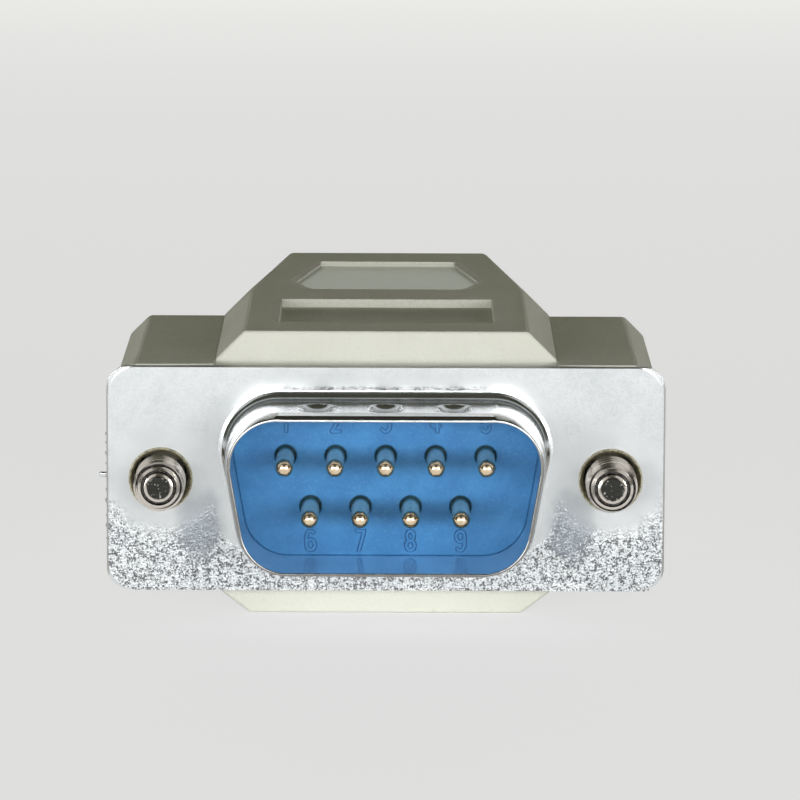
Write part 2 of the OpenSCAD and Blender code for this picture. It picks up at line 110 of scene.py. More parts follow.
def isSharp(edge, least=0.3):
    return len(edge.link_faces) == 2 and edge.calc_face_angle(0) > least


def named(name):
    piece = bpy.context.object
    piece.name = name
    piece.data.name = name
    return piece


def settle(piece):
    focus(piece)
    bpy.ops.object.transform_apply(location=True, rotation=True, scale=True)
    return piece


def putAt(piece, place, turn):
    piece.location, piece.rotation_euler = place, turn
    return settle(piece)


def rightNormals(piece):
    editAll(piece)
    bpy.ops.mesh.remove_doubles(threshold=0.0004)
    bpy.ops.mesh.normals_make_consistent(inside=False)
    leaveEdit()
    return piece


def useModifier(piece, kind, **settings):
    focus(piece)
    modifier = piece.modifiers.new(kind.title(), kind)
    for key, value in settings.items():
        setattr(modifier, key, value)
    bpy.ops.object.modifier_apply(modifier=modifier.name)
    return piece


def boolean(piece, tool, operation):
    useModifier(piece, "BOOLEAN", operation=operation, object=tool, solver="EXACT")
    bpy.data.objects.remove(tool, do_unlink=True)
    return piece


def cutBy(piece, *tools):
    for tool in tools:
        boolean(piece, tool, "DIFFERENCE")
    return piece


def addTo(piece, *tools):
    for tool in tools:
        boolean(piece, tool, "UNION")
    return piece


def joined(name, pieces):
    focus(pieces[0])
    for piece in pieces:
        piece.select_set(True)
    bpy.ops.object.join()
    return named(name)


def copyOf(piece, name, place, turn):
    twin = piece.copy()
    twin.data = piece.data.copy()
    bpy.context.collection.objects.link(twin)
    putAt(twin, place, turn)
    return named(name)


# Extrudes what is selected along Y
def extrude(run):
    bpy.ops.mesh.extrude_region_move(TRANSFORM_OT_translate={"value": (0, run, 0)})


# Rounds the edges that pass the test
def roundEdges(piece, test, width, segments):
    choose(piece, "EDGE", test)
    bpy.ops.mesh.bevel(offset=width, segments=segments, affect="EDGES")
    leaveEdit()


# Rounds every edge sharper than the angle
def softEdges(piece, width, segments, angle=35):
    return useModifier(
        piece, "BEVEL", width=width, segments=segments, limit_method="ANGLE",
        angle_limit=math.radians(angle),
    )


# Puts a line across the faces that pass the test
def divide(piece, test, point, way):
    choose(piece, "FACE", test)
    bpy.ops.mesh.bisect(plane_co=point, plane_no=way)
    leaveEdit()


# Cuts away what lies beyond a plane and closes the cut
def trim(piece, point, way):
    editAll(piece)
    bpy.ops.mesh.bisect(
        plane_co=point, plane_no=way, use_fill=True, clear_outer=True, threshold=0.0001
    )
    leaveEdit()


# Shades a piece, brings it down to metres, gives it its finish and puts it on its body
def finishPiece(piece, finish, body, node, smooth=32):
    focus(piece)
    bpy.ops.object.shade_smooth_by_angle(angle=math.radians(smooth))
    # weighted while the areas are still in square millimetres
    useModifier(piece, "WEIGHTED_NORMAL", keep_sharp=True, mode="FACE_AREA", weight=80)
    piece.scale = (mm, mm, mm)
    settle(piece)
    piece.data.materials.clear()
    piece.data.materials.append(finish)
    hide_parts(node)
    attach(piece, body)


# A solid of revolution about an axis along Y at (x, z): profile is a list of (depth, radius)
def turned(name, profile, at=(0, 0), sides=48, closed=True):
    clearSelection()
    depth, radius = profile[0]
    bpy.ops.mesh.primitive_circle_add(
        vertices=sides, radius=radius, fill_type="NGON" if closed else "NOTHING",
        location=(at[0], depth, at[1]), rotation=(math.pi / 2, 0, 0),
    )
    piece = settle(named(name))
    editAll(piece)
    for nextDepth, nextRadius in profile[1:]:
        extrude(nextDepth - depth)
        ratio = nextRadius / radius
        if ratio != 1:
            bpy.ops.transform.resize(
                value=(ratio, 1, ratio), center_override=(at[0], nextDepth, at[1])
            )
        depth, radius = nextDepth, nextRadius
    return rightNormals(piece)


def block(name, low, high):
    clearSelection()
    low, high = Vector(low), Vector(high)
    bpy.ops.mesh.primitive_cube_add(size=1, location=(low + high) / 2)
    piece = named(name)
    piece.scale = high - low
    return settle(piece)


def ball(place, size, segments, rings, shape=(1, 1, 1)):
    clearSelection()
    bpy.ops.mesh.primitive_uv_sphere_add(
        segments=segments, ring_count=rings, radius=size, location=place
    )
    bpy.context.object.scale = shape
    return settle(bpy.context.object)


# The first points of a lofted or extruded solid, as one face in edit mode
def firstFace(name, points):
    clearSelection()
    bpy.ops.mesh.primitive_circle_add(vertices=len(points), radius=1, fill_type="NGON")
    piece = named(name)
    for vertex, point in zip(piece.data.vertices, points):
        vertex.co = Vector(point)
    editAll(piece)
    return piece


# The hull of several round bars along Y, from depth y0 to y1: bars are (x, z, radius)
def hullOf(name, bars, y0, y1):
    posts = []
    for x, z, radius in bars:
        clearSelection()
        bpy.ops.mesh.primitive_cylinder_add(
            vertices=72, radius=radius, depth=y1 - y0,
            location=(x, (y0 + y1) / 2, z), rotation=(math.pi / 2, 0, 0),
        )
        posts.append(settle(bpy.context.object))
    piece = joined(name, posts)
    editAll(piece)
    bpy.ops.mesh.convex_hull()
    bpy.ops.mesh.select_all(action="SELECT")
    bpy.ops.mesh.dissolve_limited(angle_limit=math.radians(0.3))
    return rightNormals(piece)


contactGrid = {"pitch": 2.77, "rows": 2.84, "upper": 5, "count": 9}   # mm

# The D of the shell, in mm
dShape = {
    "topX": 5.96,   # half distance between the upper corners' centres
    "lowX": 5.3675,   # the same for the lower corners
    "z": 1.68,   # height of the upper corners' centres
    "radius": 2.5,   # inside the shroud
    "holeX": 12.495,   # axis of a jackscrew
}


def contactPlace(n):
    g = contactGrid
    if n <= g["upper"]:
        return ((n - (g["upper"] + 1) / 2) * g["pitch"], g["rows"] / 2)
    return ((n - g["upper"] - g["upper"] / 2) * g["pitch"], -g["rows"] / 2)


# The D grown by some millimetres, as a block from depth y0 to y1
def dBlock(name, grow, y0, y1):
    d = dShape
    bars = [
        (side * x, z, d["radius"] + grow)
        for side in (-1, 1)
        for x, z in ((d["topX"], d["z"]), (d["lowX"], -d["z"]))
    ]
    return hullOf(name, bars, y0, y1)


# Distance from the four-cornered figure between the corners' centres
def fromSkeleton(point):
    d = dShape
    corners = [Vector((x, z)) for x, z in (
        (-d["topX"], d["z"]), (d["topX"], d["z"]), (d["lowX"], -d["z"]), (-d["lowX"], -d["z"])
    )]
    gaps = []
    for a, b in zip(corners, corners[1:] + corners[:1]):
        near, share = intersect_point_line(point.xz, a, b)
        near = a if share < 0 else b if share > 1 else near.xy
        gaps.append((point.xz - near).length)
    return min(gaps)


# One socket of a node tree, so that shader maths reads as ordinary sums
class Wire:
    def __init__(self, finish, socket):
        self.finish = finish
        self.socket = socket

    def maths(self, kind, *values):
        values = dict(enumerate(values))
        return self.finish.node("ShaderNodeMath", {"operation": kind}, values)

    __add__ = lambda self, other: self.maths("ADD", self, other)
    __radd__ = lambda self, other: self.maths("ADD", other, self)
    __sub__ = lambda self, other: self.maths("SUBTRACT", self, other)
    __rsub__ = lambda self, other: self.maths("SUBTRACT", other, self)
    __mul__ = lambda self, other: self.maths("MULTIPLY", self, other)
    __rmul__ = lambda self, other: self.maths("MULTIPLY", other, self)
    __truediv__ = lambda self, other: self.maths("DIVIDE", self, other)
    __rtruediv__ = lambda self, other: self.maths("DIVIDE", other, self)
    __pow__ = lambda self, other: self.maths("POWER", self, other)
    least = lambda self, other: self.maths("MINIMUM", self, other)
    most = lambda self, other: self.maths("MAXIMUM", self, other)
    size = lambda self: self.maths("ABSOLUTE", self)


def colour(value):
    return value if isinstance(value, Wire) or len(value) == 4 else (*value, 1)


# A material and the few ways in which its nodes are made
class Finish:
    def __init__(self, name, **constants):
        self.material = bpy.data.materials.new(name)
        self.material.use_nodes = True
        self.tree = self.material.node_tree
        self.shader = self.tree.nodes["Principled BSDF"]
        self.where = self.node("ShaderNodeTexCoord", {}, {}, "Object")
        self.set(**constants)

    # Makes any node: its settings first, then the values or links of its sockets
    def node(self, kind, settings, values, out=0):
        made = self.tree.nodes.new(kind)
        for key, value in settings.items():
            setattr(made, key, value)
        for key, value in values.items():
            self.feed(made.inputs[key], value)
        return Wire(self, made.outputs[out])

    def feed(self, socket, value):
        if isinstance(value, Wire):
            self.tree.links.new(value.socket, socket)
        else:
            socket.default_value = value

    def noise(self, size, detail=3, rough=0.5):
        return self.node("ShaderNodeTexNoise", {}, {
            "Vector": self.where, "Scale": 1 / (size * mm), "Detail": detail, "Roughness": rough,
        }, "Fac")

    def cells(self, size, out="Distance"):
        values = {"Vector": self.where, "Scale": 1 / (size * mm)}
        return self.node("ShaderNodeTexVoronoi", {}, values, out)

    # 0 below low, 1 above high, smooth between; the other way round if low is the greater
    def step(self, value, low, high):
        return self.node(
            "ShaderNodeMapRange", {"interpolation_type": "SMOOTHSTEP"},
            {"Value": value, "From Min": low, "From Max": high},
        )

    # Several steps together: each is a value with where its step starts and is full
    def within(self, *steps):
        masks = [self.step(value, *span) for value, span in steps]
        return math.prod(masks[1:], start=masks[0])

    # The place on the piece in millimetres, one number for each way
    def place(self):
        split = self.node("ShaderNodeSeparateXYZ", {}, {0: self.where}).socket.node
        return [Wire(self, output) / mm for output in split.outputs]

    def mix(self, share, first, second):
        return self.node(
            "ShaderNodeMix", {"data_type": "RGBA"},
            {0: share, 6: colour(first), 7: colour(second)}, 2,
        )

    def bump(self, height, distance, **under):
        values = {"Height": height, "Distance": distance * mm, **under}
        return self.node("ShaderNodeBump", {}, values)

    def set(self, **links):
        for key, value in links.items():
            self.feed(self.shader.inputs[key.replace("_", " ")], value)
        return self.material


hoodLook = {
    "base": (0.755, 0.765, 0.675),
    "pale": (0.80, 0.81, 0.725),
    # deep: the darker tone of the fine flecks, and of the grain mottle, which is partly painted
    # shade
    "deep": (0.56, 0.56, 0.46),
    "cloud": 6.0,   # mm
    "fleck": 0.35,   # mm
    "grain": 0.16,   # mm
    "grainDepth": 0.045,   # mm
    "roughness": 0.52,
    "frontStrip": (2.3, 2.5),   # depth at which the grain's colour sets in; the lit front face before it gets neither grain colour nor painted shade
    # the polished floor of the rear recess: where it ends and where it is full, in mm
    "floorTop": (7.83, 7.79),
    "floorSide": (5.8, 5.6),
    "floorFront": (19.0, 20.0),
    "floorRear": (31.2, 31.0),
    "floorRoughness": 0.16,
}


def hoodPlastic():
    look = hoodLook
    f = Finish("hoodPlastic", Specular_IOR_Level=0.04)
    x, y, z = f.place()
    fine = f.noise(look["fleck"], 4, 0.6)
    grain = f.noise(look["grain"], 2, 0.6)
    pits = f.cells(look["grain"] * 1.6)
    polished = f.within(
        (z, look["floorTop"]), (x.size(), look["floorSide"]),
        (y, look["floorFront"]), (y, look["floorRear"]),
    )
    base = f.mix(f.step(f.noise(look["cloud"]), 0.3, 0.7), look["base"], look["pale"])
    base = f.mix(f.step(fine, 0.62, 0.78) * 0.35, base, look["deep"])
    # grain mottle, partly real grain and partly painted shade, on every face behind the lit front
    # face, but not on the polished floor
    shade = f.within((grain, (0.42, 0.66)), (y, look["frontStrip"])) * (1 - polished)
    base = f.mix(shade * 0.3, base, look["deep"])
    return f.set(
        Base_Color=base,
        Roughness=look["roughness"] + (fine - 0.5) * 0.25,
        Coat_Weight=polished,
        Coat_Roughness=look["floorRoughness"],
        Normal=f.bump((grain * 0.7 + pits * 0.3) * (1 - polished * 0.9), look["grainDepth"]),
    )


tinLook = {
    "bright": (0.80, 0.825, 0.84),
    "dull": (0.44, 0.48, 0.50),
    "patch": (0.33, 0.38, 0.42),
    # patch: bluish grey for the painted reflection beside the shroud
    "dark": (0.05, 0.05, 0.055),
    # edge: colour of the sheared edges, with painted shade there, and of the painted dark
    # reflection on the shroud's rim and lead-in
    "edge": (0.16, 0.15, 0.13),
    "grain": 0.12,   # mm
    "grainDepth": 0.030,   # mm
    "roughness": 0.12,
    # how much of each colour a mask lets through
    "speckleShare": 0.92, "patchShare": 0.55, "rootShare": 0.85, "rimReflectionShare": 0.75,
    "shearedAndShadeShare": 0.8, "mattShare": 0.55,
    # each pair says where a mask starts and where it is full, in mm;
    # "out" is the distance from the shroud's inside, and "depth" is along Y
    "flangeDepth": (-0.12, -0.02),
    "speckleHole": (2.35, 3.65),   # speckle, from a hole's axis
    "speckleOut": (1.3, 1.8),
    "speckleLow": (-3.0, -4.5),   # below the shroud it comes 0.75 mm nearer
    "denser": (-1.0, 3.4),   # downwards
    "mattOut": (0.82, 0.92),
    "rootOut": (0.80, 0.86), "rootEnd": (1.15, 0.9),
    "rootHeight": (4, 4.5), "rootSide": (6.2, 4.8),
    # the rim and lead masks say where the painted dark reflection goes
    "rimOut": (0.0, 0.05), "rimDepth": (-5.6, -5.75), "rimHeight": (3.9, 3.0),
    "leadOut": (0.10, 0.15), "leadDepth": (-4.62, -4.75),
    "sheared": (15.36, 6.2),   # from here outwards, sideways and up
    "shearedDepth": (0.04, 0.10), "shearedEnd": (15.60, 15.54),
    "patchMiddle": (10.3, -2.6), "patchSize": (1.4, 2.1),
}


# Bright tin plate: smooth where it was drawn, speckled on the flange
def tinPlate(name, speckled):
    look, d = tinLook, dShape
    f = Finish(name)
    x, y, z = f.place()
    wide, high = x.size(), z.size()
    metal = 1.0
    base = f.mix(
        f.step(f.noise(3.5, 3, 0.55), 0.35, 0.7) * 0.25, look["bright"], look["dull"]
    )
    rough = look["roughness"] + f.noise(0.6, 3, 0.6) * 0.10
    normal = f.bump(f.noise(1.6, 2), 0.012)
    if speckled:
        blur = f.noise(1.1, 2) - 0.5
        toHole = ((wide - d["holeX"]) ** 2 + z ** 2) ** 0.5
        level = z.least(d["z"]).most(-d["z"])
        slope = (d["topX"] - d["lowX"]) / (2 * d["z"])
        sideways = (wide - (level * slope + (d["topX"] + d["lowX"]) / 2)).most(0)
        upward = (high - d["z"]).most(0)
        out = (sideways ** 2 + upward ** 2) ** 0.5 - d["radius"]
        onFlange = f.step(y, *look["flangeDepth"])
        field = onFlange * f.within(
            (toHole + blur * 0.8, look["speckleHole"]),
            (out + f.step(z, *look["speckleLow"]) * 0.75, look["speckleOut"]),
        )
        strength = field * (0.10 + f.step(blur * 2.2 - z, *look["denser"]) * 0.90)
        grain = f.noise(look["grain"], 4, 0.75) * 0.62 + f.noise(look["grain"] * 3, 3, 0.7) * 0.38
        # beside the shroud, below the middle, a bluish grey patch of painted reflection, with the
        # speckle a little denser in it
        (px, pz), (sx, sz) = look["patchMiddle"], look["patchSize"]
        away = ((wide - px) / sx) ** 2 + ((z - pz) / sz) ** 2
        patch = f.step(away + blur * 1.2, 1.4, 0.2)
        mottle = f.step(grain + patch * 0.05, 0.478, 0.545)
        # the flat of the flange is matt, the drawn part is bright
        metal = 1 - onFlange * f.step(out, *look["mattOut"]) * look["mattShare"]
        base = f.mix(strength * 0.30, base, look["dull"])
        base = f.mix(strength * mottle * look["speckleShare"], base, look["dark"])
        # painted reflection in the patch
        base = f.mix(patch * onFlange * look["patchShare"], base, look["patch"])
        # dark grains along the root of the shroud's upper wall
        root = onFlange * f.within(
            (out, look["rootOut"]), (out, look["rootEnd"]), (z, look["rootHeight"]),
            (wide, look["rootSide"]), (grain, (0.47, 0.54)),
        )
        base = f.mix(root * look["rootShare"], base, look["dark"])
        # painted dark reflection on the shroud's lead-in all round, and on its rim at the sides
        # and below
        rim = f.within((out, look["rimOut"]), (y, look["rimDepth"]), (z, look["rimHeight"]))
        rim = rim.most(f.within((out, look["leadOut"]), (y, look["leadDepth"])))
        base = f.mix(rim * look["rimReflectionShare"], base, look["edge"])
        rough = rough + strength * 0.16
        pits = f.noise(look["grain"] * 1.2, 2, 0.6) * strength
        normal = f.bump(pits, look["grainDepth"], Normal=normal)
    # sheared edges are darker than the faces: partly the cut edge's own colour, partly painted
    # shade in the gaps along the plates' edges
    edgeX, edgeZ = look["sheared"]
    edge = f.within(
        ((high - edgeZ).most(wide - edgeX), (0.0, 0.05)),
        (y, look["shearedDepth"]), (wide, look["shearedEnd"]),
    )
    base = f.mix(edge * look["shearedAndShadeShare"], base, look["edge"])
    return f.set(Base_Color=base, Metallic=metal, Roughness=rough + edge * 0.2, Normal=normal)


blueLook = {
    "deep": (0.026, 0.185, 0.46),
    "full": (0.040, 0.235, 0.545),
    "pale": (0.11, 0.36, 0.62),
    "shade": (0.020, 0.13, 0.38),
    "cloud": 1.6,   # mm
    "fleck": 0.14,   # mm
    "grain": 0.12,   # mm
    "grainDepth": 0.006,   # mm
    "roughness": 0.42,
}


def blueResin():
    look = blueLook
    f = Finish("blueResin", Specular_IOR_Level=0.35)
    fine = f.noise(look["fleck"], 2, 0.6)
    cloud = f.step(f.noise(look["cloud"], 3, 0.55), 0.32, 0.70)
    base = f.mix(cloud, look["deep"], look["full"])
    base = f.mix(f.step(fine, 0.58, 0.72) * 0.30, base, look["pale"])
    base = f.mix(f.step(fine, 0.42, 0.30) * 0.35, base, look["shade"])
    return f.set(
        Base_Color=base,
        Roughness=look["roughness"] + (f.noise(0.5, 3, 0.6) - 0.5) * 0.3,
        Normal=f.bump(f.noise(look["grain"], 2, 0.6), look["grainDepth"]),
    )


# The first and the second colour of each metal
metalTones = {
    "gold": ((0.94, 0.79, 0.58), (0.80, 0.63, 0.42)),
    "brass": ((0.36, 0.33, 0.22), (0.72, 0.68, 0.50)),
    "nickel": ((0.74, 0.70, 0.65), (0.407, 0.385, 0.3575)),
    "steel": ((0.20, 0.20, 0.21), (0.36, 0.36, 0.37)),
    "zinc": ((0.52, 0.54, 0.56), (0.74, 0.75, 0.74)),
}


def goldPlate():
    f = Finish("goldPlate", Metallic=1.0)
    worn = f.step(f.noise(0.7, 3, 0.6), 0.35, 0.70)
    return f.set(
        Base_Color=f.mix(worn, *metalTones["gold"]),
        Roughness=0.14 + f.noise(0.25, 2, 0.6) * 0.12,
        Normal=f.bump(f.noise(0.10, 2), 0.002),
    )


def eyeletBrass():
    f = Finish("eyeletBrass", Metallic=0.8)
    grain = f.noise(0.16, 3, 0.65)
    return f.set(
        Base_Color=f.mix(f.step(grain, 0.38, 0.62), *metalTones["brass"]),
        Roughness=0.42 + grain * 0.25,
        Normal=f.bump(grain, 0.02),
    )


def nickelPlate():
    f = Finish("nickelPlate", Metallic=1.0)
    worn = f.noise(0.5, 3, 0.6)
    return f.set(
        Base_Color=f.mix(f.step(worn, 0.58, 0.80) * 0.6, *metalTones["nickel"]),
        Roughness=0.15 + worn * 0.16,
        Normal=f.bump(f.noise(0.18, 2, 0.6), 0.004),
    )


def springSteel():
    f = Finish("springSteel", Metallic=1.0)
    worn = f.noise(0.6, 3, 0.6)
    return f.set(
        Base_Color=f.mix(worn, *metalTones["steel"]),
        Roughness=0.32 + worn * 0.2,
        Normal=f.bump(f.noise(0.15, 2, 0.6), 0.004),
    )


def zincPlate():
    f = Finish("zincPlate", Metallic=1.0)
    tone = f.node("ShaderNodeSeparateColor", {}, {0: f.cells(1.1, "Color")})
    return f.set(
        Base_Color=f.mix(tone * 0.5 + f.noise(0.4) * 0.4, *metalTones["zinc"]),
        Roughness=0.28 + tone * 0.15,
        Normal=f.bump(f.noise(0.2, 2, 0.6), 0.004),
    )


screwLook = {
    "bright": (0.76, 0.71, 0.65),
    "worn": (0.40, 0.36, 0.32),
    # painted dark reflection on the parted end, and its painted glints (fleck)
    "parted": (0.025, 0.025, 0.023),
    "fleck": (0.45, 0.44, 0.42),
    # painted shade of the grooved rings round the parted end
    "grooveShade": (0.022, 0.021, 0.02),
    # where each mask starts and where it is full, in mm: depths and distances from the axis
    "discDepth": (-2.90, -2.96), "disc": (0.70, 0.60),
    "grooveShadeDepth": (-2.30, -2.42), "innerDepth": (-2.78, -2.70),
    "innerFrom": (0.80, 0.84), "innerTo": (1.01, 0.97),
    "outerFrom": (1.15, 1.19), "outerTo": (1.30, 1.26),
}


# Nickel; the rough end where the screw was parted off carries a painted dark reflection with
# painted glints
def screwNickel():
    look = screwLook
    f = Finish("screwNickel", Metallic=1.0)
    x, y, z = f.place()
    worn = f.noise(0.5, 3, 0.6)
    grain = f.noise(0.16, 3, 0.7)
    toAxis = ((x.size() - dShape["holeX"]) ** 2 + z ** 2) ** 0.5
    parted = f.within((y, look["discDepth"]), (toAxis + (grain - 0.5) * 0.25, look["disc"]))
    base = f.mix(f.step(worn, 0.58, 0.80) * 0.6, look["bright"], look["worn"])
    # the parted end's colour is painted dark reflection, and its light flecks are painted glints
    disc = f.mix(f.step(grain, 0.60, 0.70), look["parted"], look["fleck"])
    base = f.mix(parted, base, disc)
    # painted shade in the two grooved rings round the parted end
    inner = f.within(
        (toAxis, look["innerFrom"]), (toAxis, look["innerTo"]), (y, look["innerDepth"])
    )
    outer = f.within((toAxis, look["outerFrom"]), (toAxis, look["outerTo"]))
    grooveShadeMask = inner.most(outer) * f.step(y, *look["grooveShadeDepth"])
    base = f.mix(grooveShadeMask * (0.70 + grain * 0.5).least(1), base, look["grooveShade"])
    return f.set(
        Base_Color=base,
        Roughness=0.12 + worn * 0.14 + parted * 0.22,
        Normal=f.bump(f.noise(0.18, 2, 0.6) + grain * parted * 4.0, 0.006),
    )


print("finishes")
plastic = hoodPlastic()
tinFlange = tinPlate("tinFlange", True)
tinPlain = tinPlate("tinPlain", False)
blue = blueResin()
gold = goldPlate()
brass = eyeletBrass()
nickel = nickelPlate()
screwFinish = screwNickel()
steel = springSteel()
zinc = zincPlate()

# Both pressed sheets share the flange's measures, in mm
shellSheet = {
    "thick": 0.35,
    "front": 0.0,   # depth of the front flange's face
    "depth": 5.89,   # of the shroud
    "bend": 0.5,
    "width": 30.81,
    "height": 12.55,
    "corner": 1.6,
    "hole": 1.695,   # radius of the flange holes
    "edge": 0.07,   # rounding of the sheared edges
    "lead": 1.2,   # length of the leaning part of the shroud's wall
    "lean": 0.17,
    "rimOuter": 0.10,   # rounding of the shroud's rim
    "rimInner": 0.06,
}


# Leaves only the face that looks towards -Y, in edit mode
def keepFront(piece):
    choose(piece, "FACE", lambda f: f.normal.y > -0.9)
    bpy.ops.mesh.delete(type="FACE")


# The flat plate's outline, its holes and the opening for the D, all at one depth
def flatSheet(name, width, corner, grow, depth):
    s = shellSheet
    w, h = width / 2 - corner, s["height"] / 2 - corner
    posts = [(i * w, j * h, corner) for i in (-1, 1) for j in (-1, 1)]
    outlines = []
    for flat in (
        hullOf(name, posts, depth, depth + 1), dBlock("opening", grow, depth, depth + 1)
    ):
        keepFront(flat)
        choose(flat, "FACE", lambda f: True)
        bpy.ops.mesh.delete(type="ONLY_FACE")
        outlines.append(flat)
    for side in (-1, 1):
        clearSelection()
        bpy.ops.mesh.primitive_circle_add(
            vertices=64, radius=s["hole"], fill_type="NOTHING",
            location=(side * dShape["holeX"], depth, 0), rotation=(math.pi / 2, 0, 0),
        )
        outlines.append(settle(bpy.context.object))
    sheet = joined(name, outlines)
    choose(sheet, "EDGE", lambda e: True)
    bpy.ops.mesh.fill(use_beauty=True)
    leaveEdit()
    return sheet


# The drawn part: starts at the D opening and goes on by insets of (less grow, further depth)
def drawnPart(name, grow, depth, way, steps):
    drawn = dBlock(name, grow, depth, depth + 1)
    keepFront(drawn)
    bpy.ops.mesh.select_all(action="SELECT")
    if way > 0:
        bpy.ops.mesh.flip_normals()
    for less, further in steps:
        if less > 0:
            bpy.ops.mesh.inset(
                thickness=less, depth=further, use_even_offset=True, use_boundary=True
            )
        else:
            extrude(way * further)
    bpy.ops.mesh.delete(type="ONLY_FACE")
    leaveEdit()
    return drawn


# A quarter bend, from lying in the flange to running along Y, or the other way round
def bendSteps(radius, count, entering=True):
    steps = []
    for i in range(count):
        a, b = math.radians(90 * i / count), math.radians(90 * (i + 1) / count)
        step = radius * (math.sin(b) - math.sin(a)), radius * (math.cos(a) - math.cos(b))
        steps.append(step if entering else step[::-1])
    return steps


# Joins the flat and the drawn part and gives them their thickness, away from the flange's face
def pressed(name, parts, depth, way):
    shell = rightNormals(joined(name, parts))
    flange = [f for f in shell.data.polygons if abs(f.center.y - depth) < close]
    if sum(f.area * f.normal.y * way for f in flange) < 0:
        editAll(shell)
        bpy.ops.mesh.flip_normals()
        leaveEdit()
    useModifier(
        shell, "SOLIDIFY", thickness=shellSheet["thick"], offset=-1, use_even_offset=True,
        use_quality_normals=True, use_rim=True,
    )
    return rightNormals(shell)


def makeFrontShell():
    s, d = shellSheet, dShape
    t, bend, rim = s["thick"], s["bend"], -s["depth"]
    sheet = flatSheet("frontShell", s["width"], s["corner"], t + bend, s["front"])
    drawn = drawnPart(
        "drawnShroud", t + bend, s["front"], -1, bendSteps(bend, 8) + [(0, s["depth"] - bend)]
    )
    pressDimples(drawn, rim)
    shell = pressed("frontShell", [sheet, drawn], s["front"], -1)
    # the last part of the wall leans in a little on its outside, as a lead-in
    middleLine = d["radius"] + t / 2
    divide(shell, lambda f: True, (0, rim + s["lead"], 0), (0, 1, 0))
    choose(shell, "VERT", lambda v: v.co.y < rim + close and fromSkeleton(v.co) > middleLine)
    high = d["z"] + d["radius"] + t
    wide = (d["topX"] + d["lowX"]) / 2 + d["radius"] + t
    bpy.ops.transform.resize(
        value=(1 - s["lean"] / wide, 1, 1 - s["lean"] / high), center_override=(0, 0, 0)
    )
    for outer, width, segments in ((True, s["rimOuter"], 6), (False, s["rimInner"], 3)):
        roundEdges(
            shell, lambda e: middle(e).y < rim + close and abs(edgeWay(e).y) < 0.5
            and isSharp(e, 1.2) and (fromSkeleton(middle(e)) > middleLine) == outer,
            width, segments,
        )
    return softEdges(shell, s["edge"], 3, 50)


dimple = {"width": 1.7, "length": 2.9, "deep": 0.28, "pitch": 3.75, "fromRim": 1.3}


# Presses the grip dimples into the upper wall, which is one flat face until then
def pressDimples(drawn, rim):
    d, s = dimple, shellSheet
    top = dShape["z"] + dShape["radius"] + s["thick"]
    choose(drawn, "FACE", lambda f: f.normal.z > 0.999 and middle(f).z > top - 0.02
           and f.calc_area() > 10)
    bpy.ops.mesh.subdivide(number_cuts=71)
    leaveEdit()
    halfLength = (d["length"] - d["width"]) / 2
    centreY = rim + d["length"] / 2 + d["fromRim"]
    punch = ((d["width"] / 2) ** 2 + d["deep"] ** 2) / (2 * d["deep"])   # its radius
    for vertex in drawn.data.vertices:
        x, y, z = vertex.co
        if z < top - close or abs(x) > dShape["topX"] - close:
            continue
        if not rim + 0.05 <= y <= -s["bend"] - 0.05:
            continue
        along = max(abs(y - centreY) - halfLength, 0)
        for i in (-1, 0, 1):
            reach = punch ** 2 - (x - i * d["pitch"]) ** 2 - along ** 2
            dent = math.sqrt(max(reach, 0)) - (punch - d["deep"])
            if dent > 0.02:   # the rest of the wall stays flat
                vertex.co.z -= dent


# The flange stands proud of the front one, and the box behind it ends in a lip
rearSheet = {
    "proud": 0.117, "corner": 1.25, "bend": 0.4, "back": 5.3, "turn": 0.35, "edge": 0.05,
    "grow": 1.15, "lip": -0.25, "tabWidth": 0.4, "tabHeight": 0.3, "tabEdge": 0.08,
    "burrShape": (1, 0.9, 1.5),
    # small burrs left by the shears: place and size
    "burrs": [
        (-15.52, 0.52, 2.45, 0.07), (-15.53, 0.50, 1.95, 0.05), (-15.52, 0.55, 1.35, 0.08),
        (-15.53, 0.50, 0.78, 0.05), (-15.52, 0.52, -0.70, 0.06), (-15.53, 0.54, -1.32, 0.08),
        (-15.52, 0.50, -2.15, 0.05), (-15.53, 0.53, -2.72, 0.07), (-15.51, 0.52, -3.45, 0.05),
        (14.15, 0.52, -6.27, 0.07), (14.42, 0.55, -6.26, 0.09), (14.66, 0.52, -6.24, 0.06),
    ],
}


def makeRearShell():
    s, r = shellSheet, rearSheet
    t, back, grow = s["thick"], 2 * s["thick"], r["grow"] + r["bend"]
    sheet = flatSheet("rearShell", s["width"] + 2 * r["proud"], r["corner"], grow, back)
    run = r["back"] - r["turn"] - back - r["bend"]
    drawn = drawnPart(
        "drawnBox", grow, back, 1,
        bendSteps(r["bend"], 5) + [(0, run)] + bendSteps(r["turn"], 4, False)
        + [(r["grow"] - r["turn"] - r["lip"], 0)],
    )
    shell = softEdges(pressed("rearShell", [sheet, drawn], back, 1), r["edge"], 2, 50)
    left = -s["width"] / 2 - r["proud"]
    tab = block(
        "tab", (left - r["tabWidth"], t + 0.02, 0), (left + 0.3, back - 0.02, r["tabHeight"])
    )
    addTo(shell, softEdges(tab, r["tabEdge"], 3))
    for x, y, z, size in r["burrs"]:
        addTo(shell, ball((x, y, z), size, 12, 8, r["burrShape"]))
    return shell


print("shells")
finishPiece(makeFrontShell(), tinFlange, "plug", "front_shell", 40)
finishPiece(makeRearShell(), tinPlain, "plug", "rear_shell", 40)


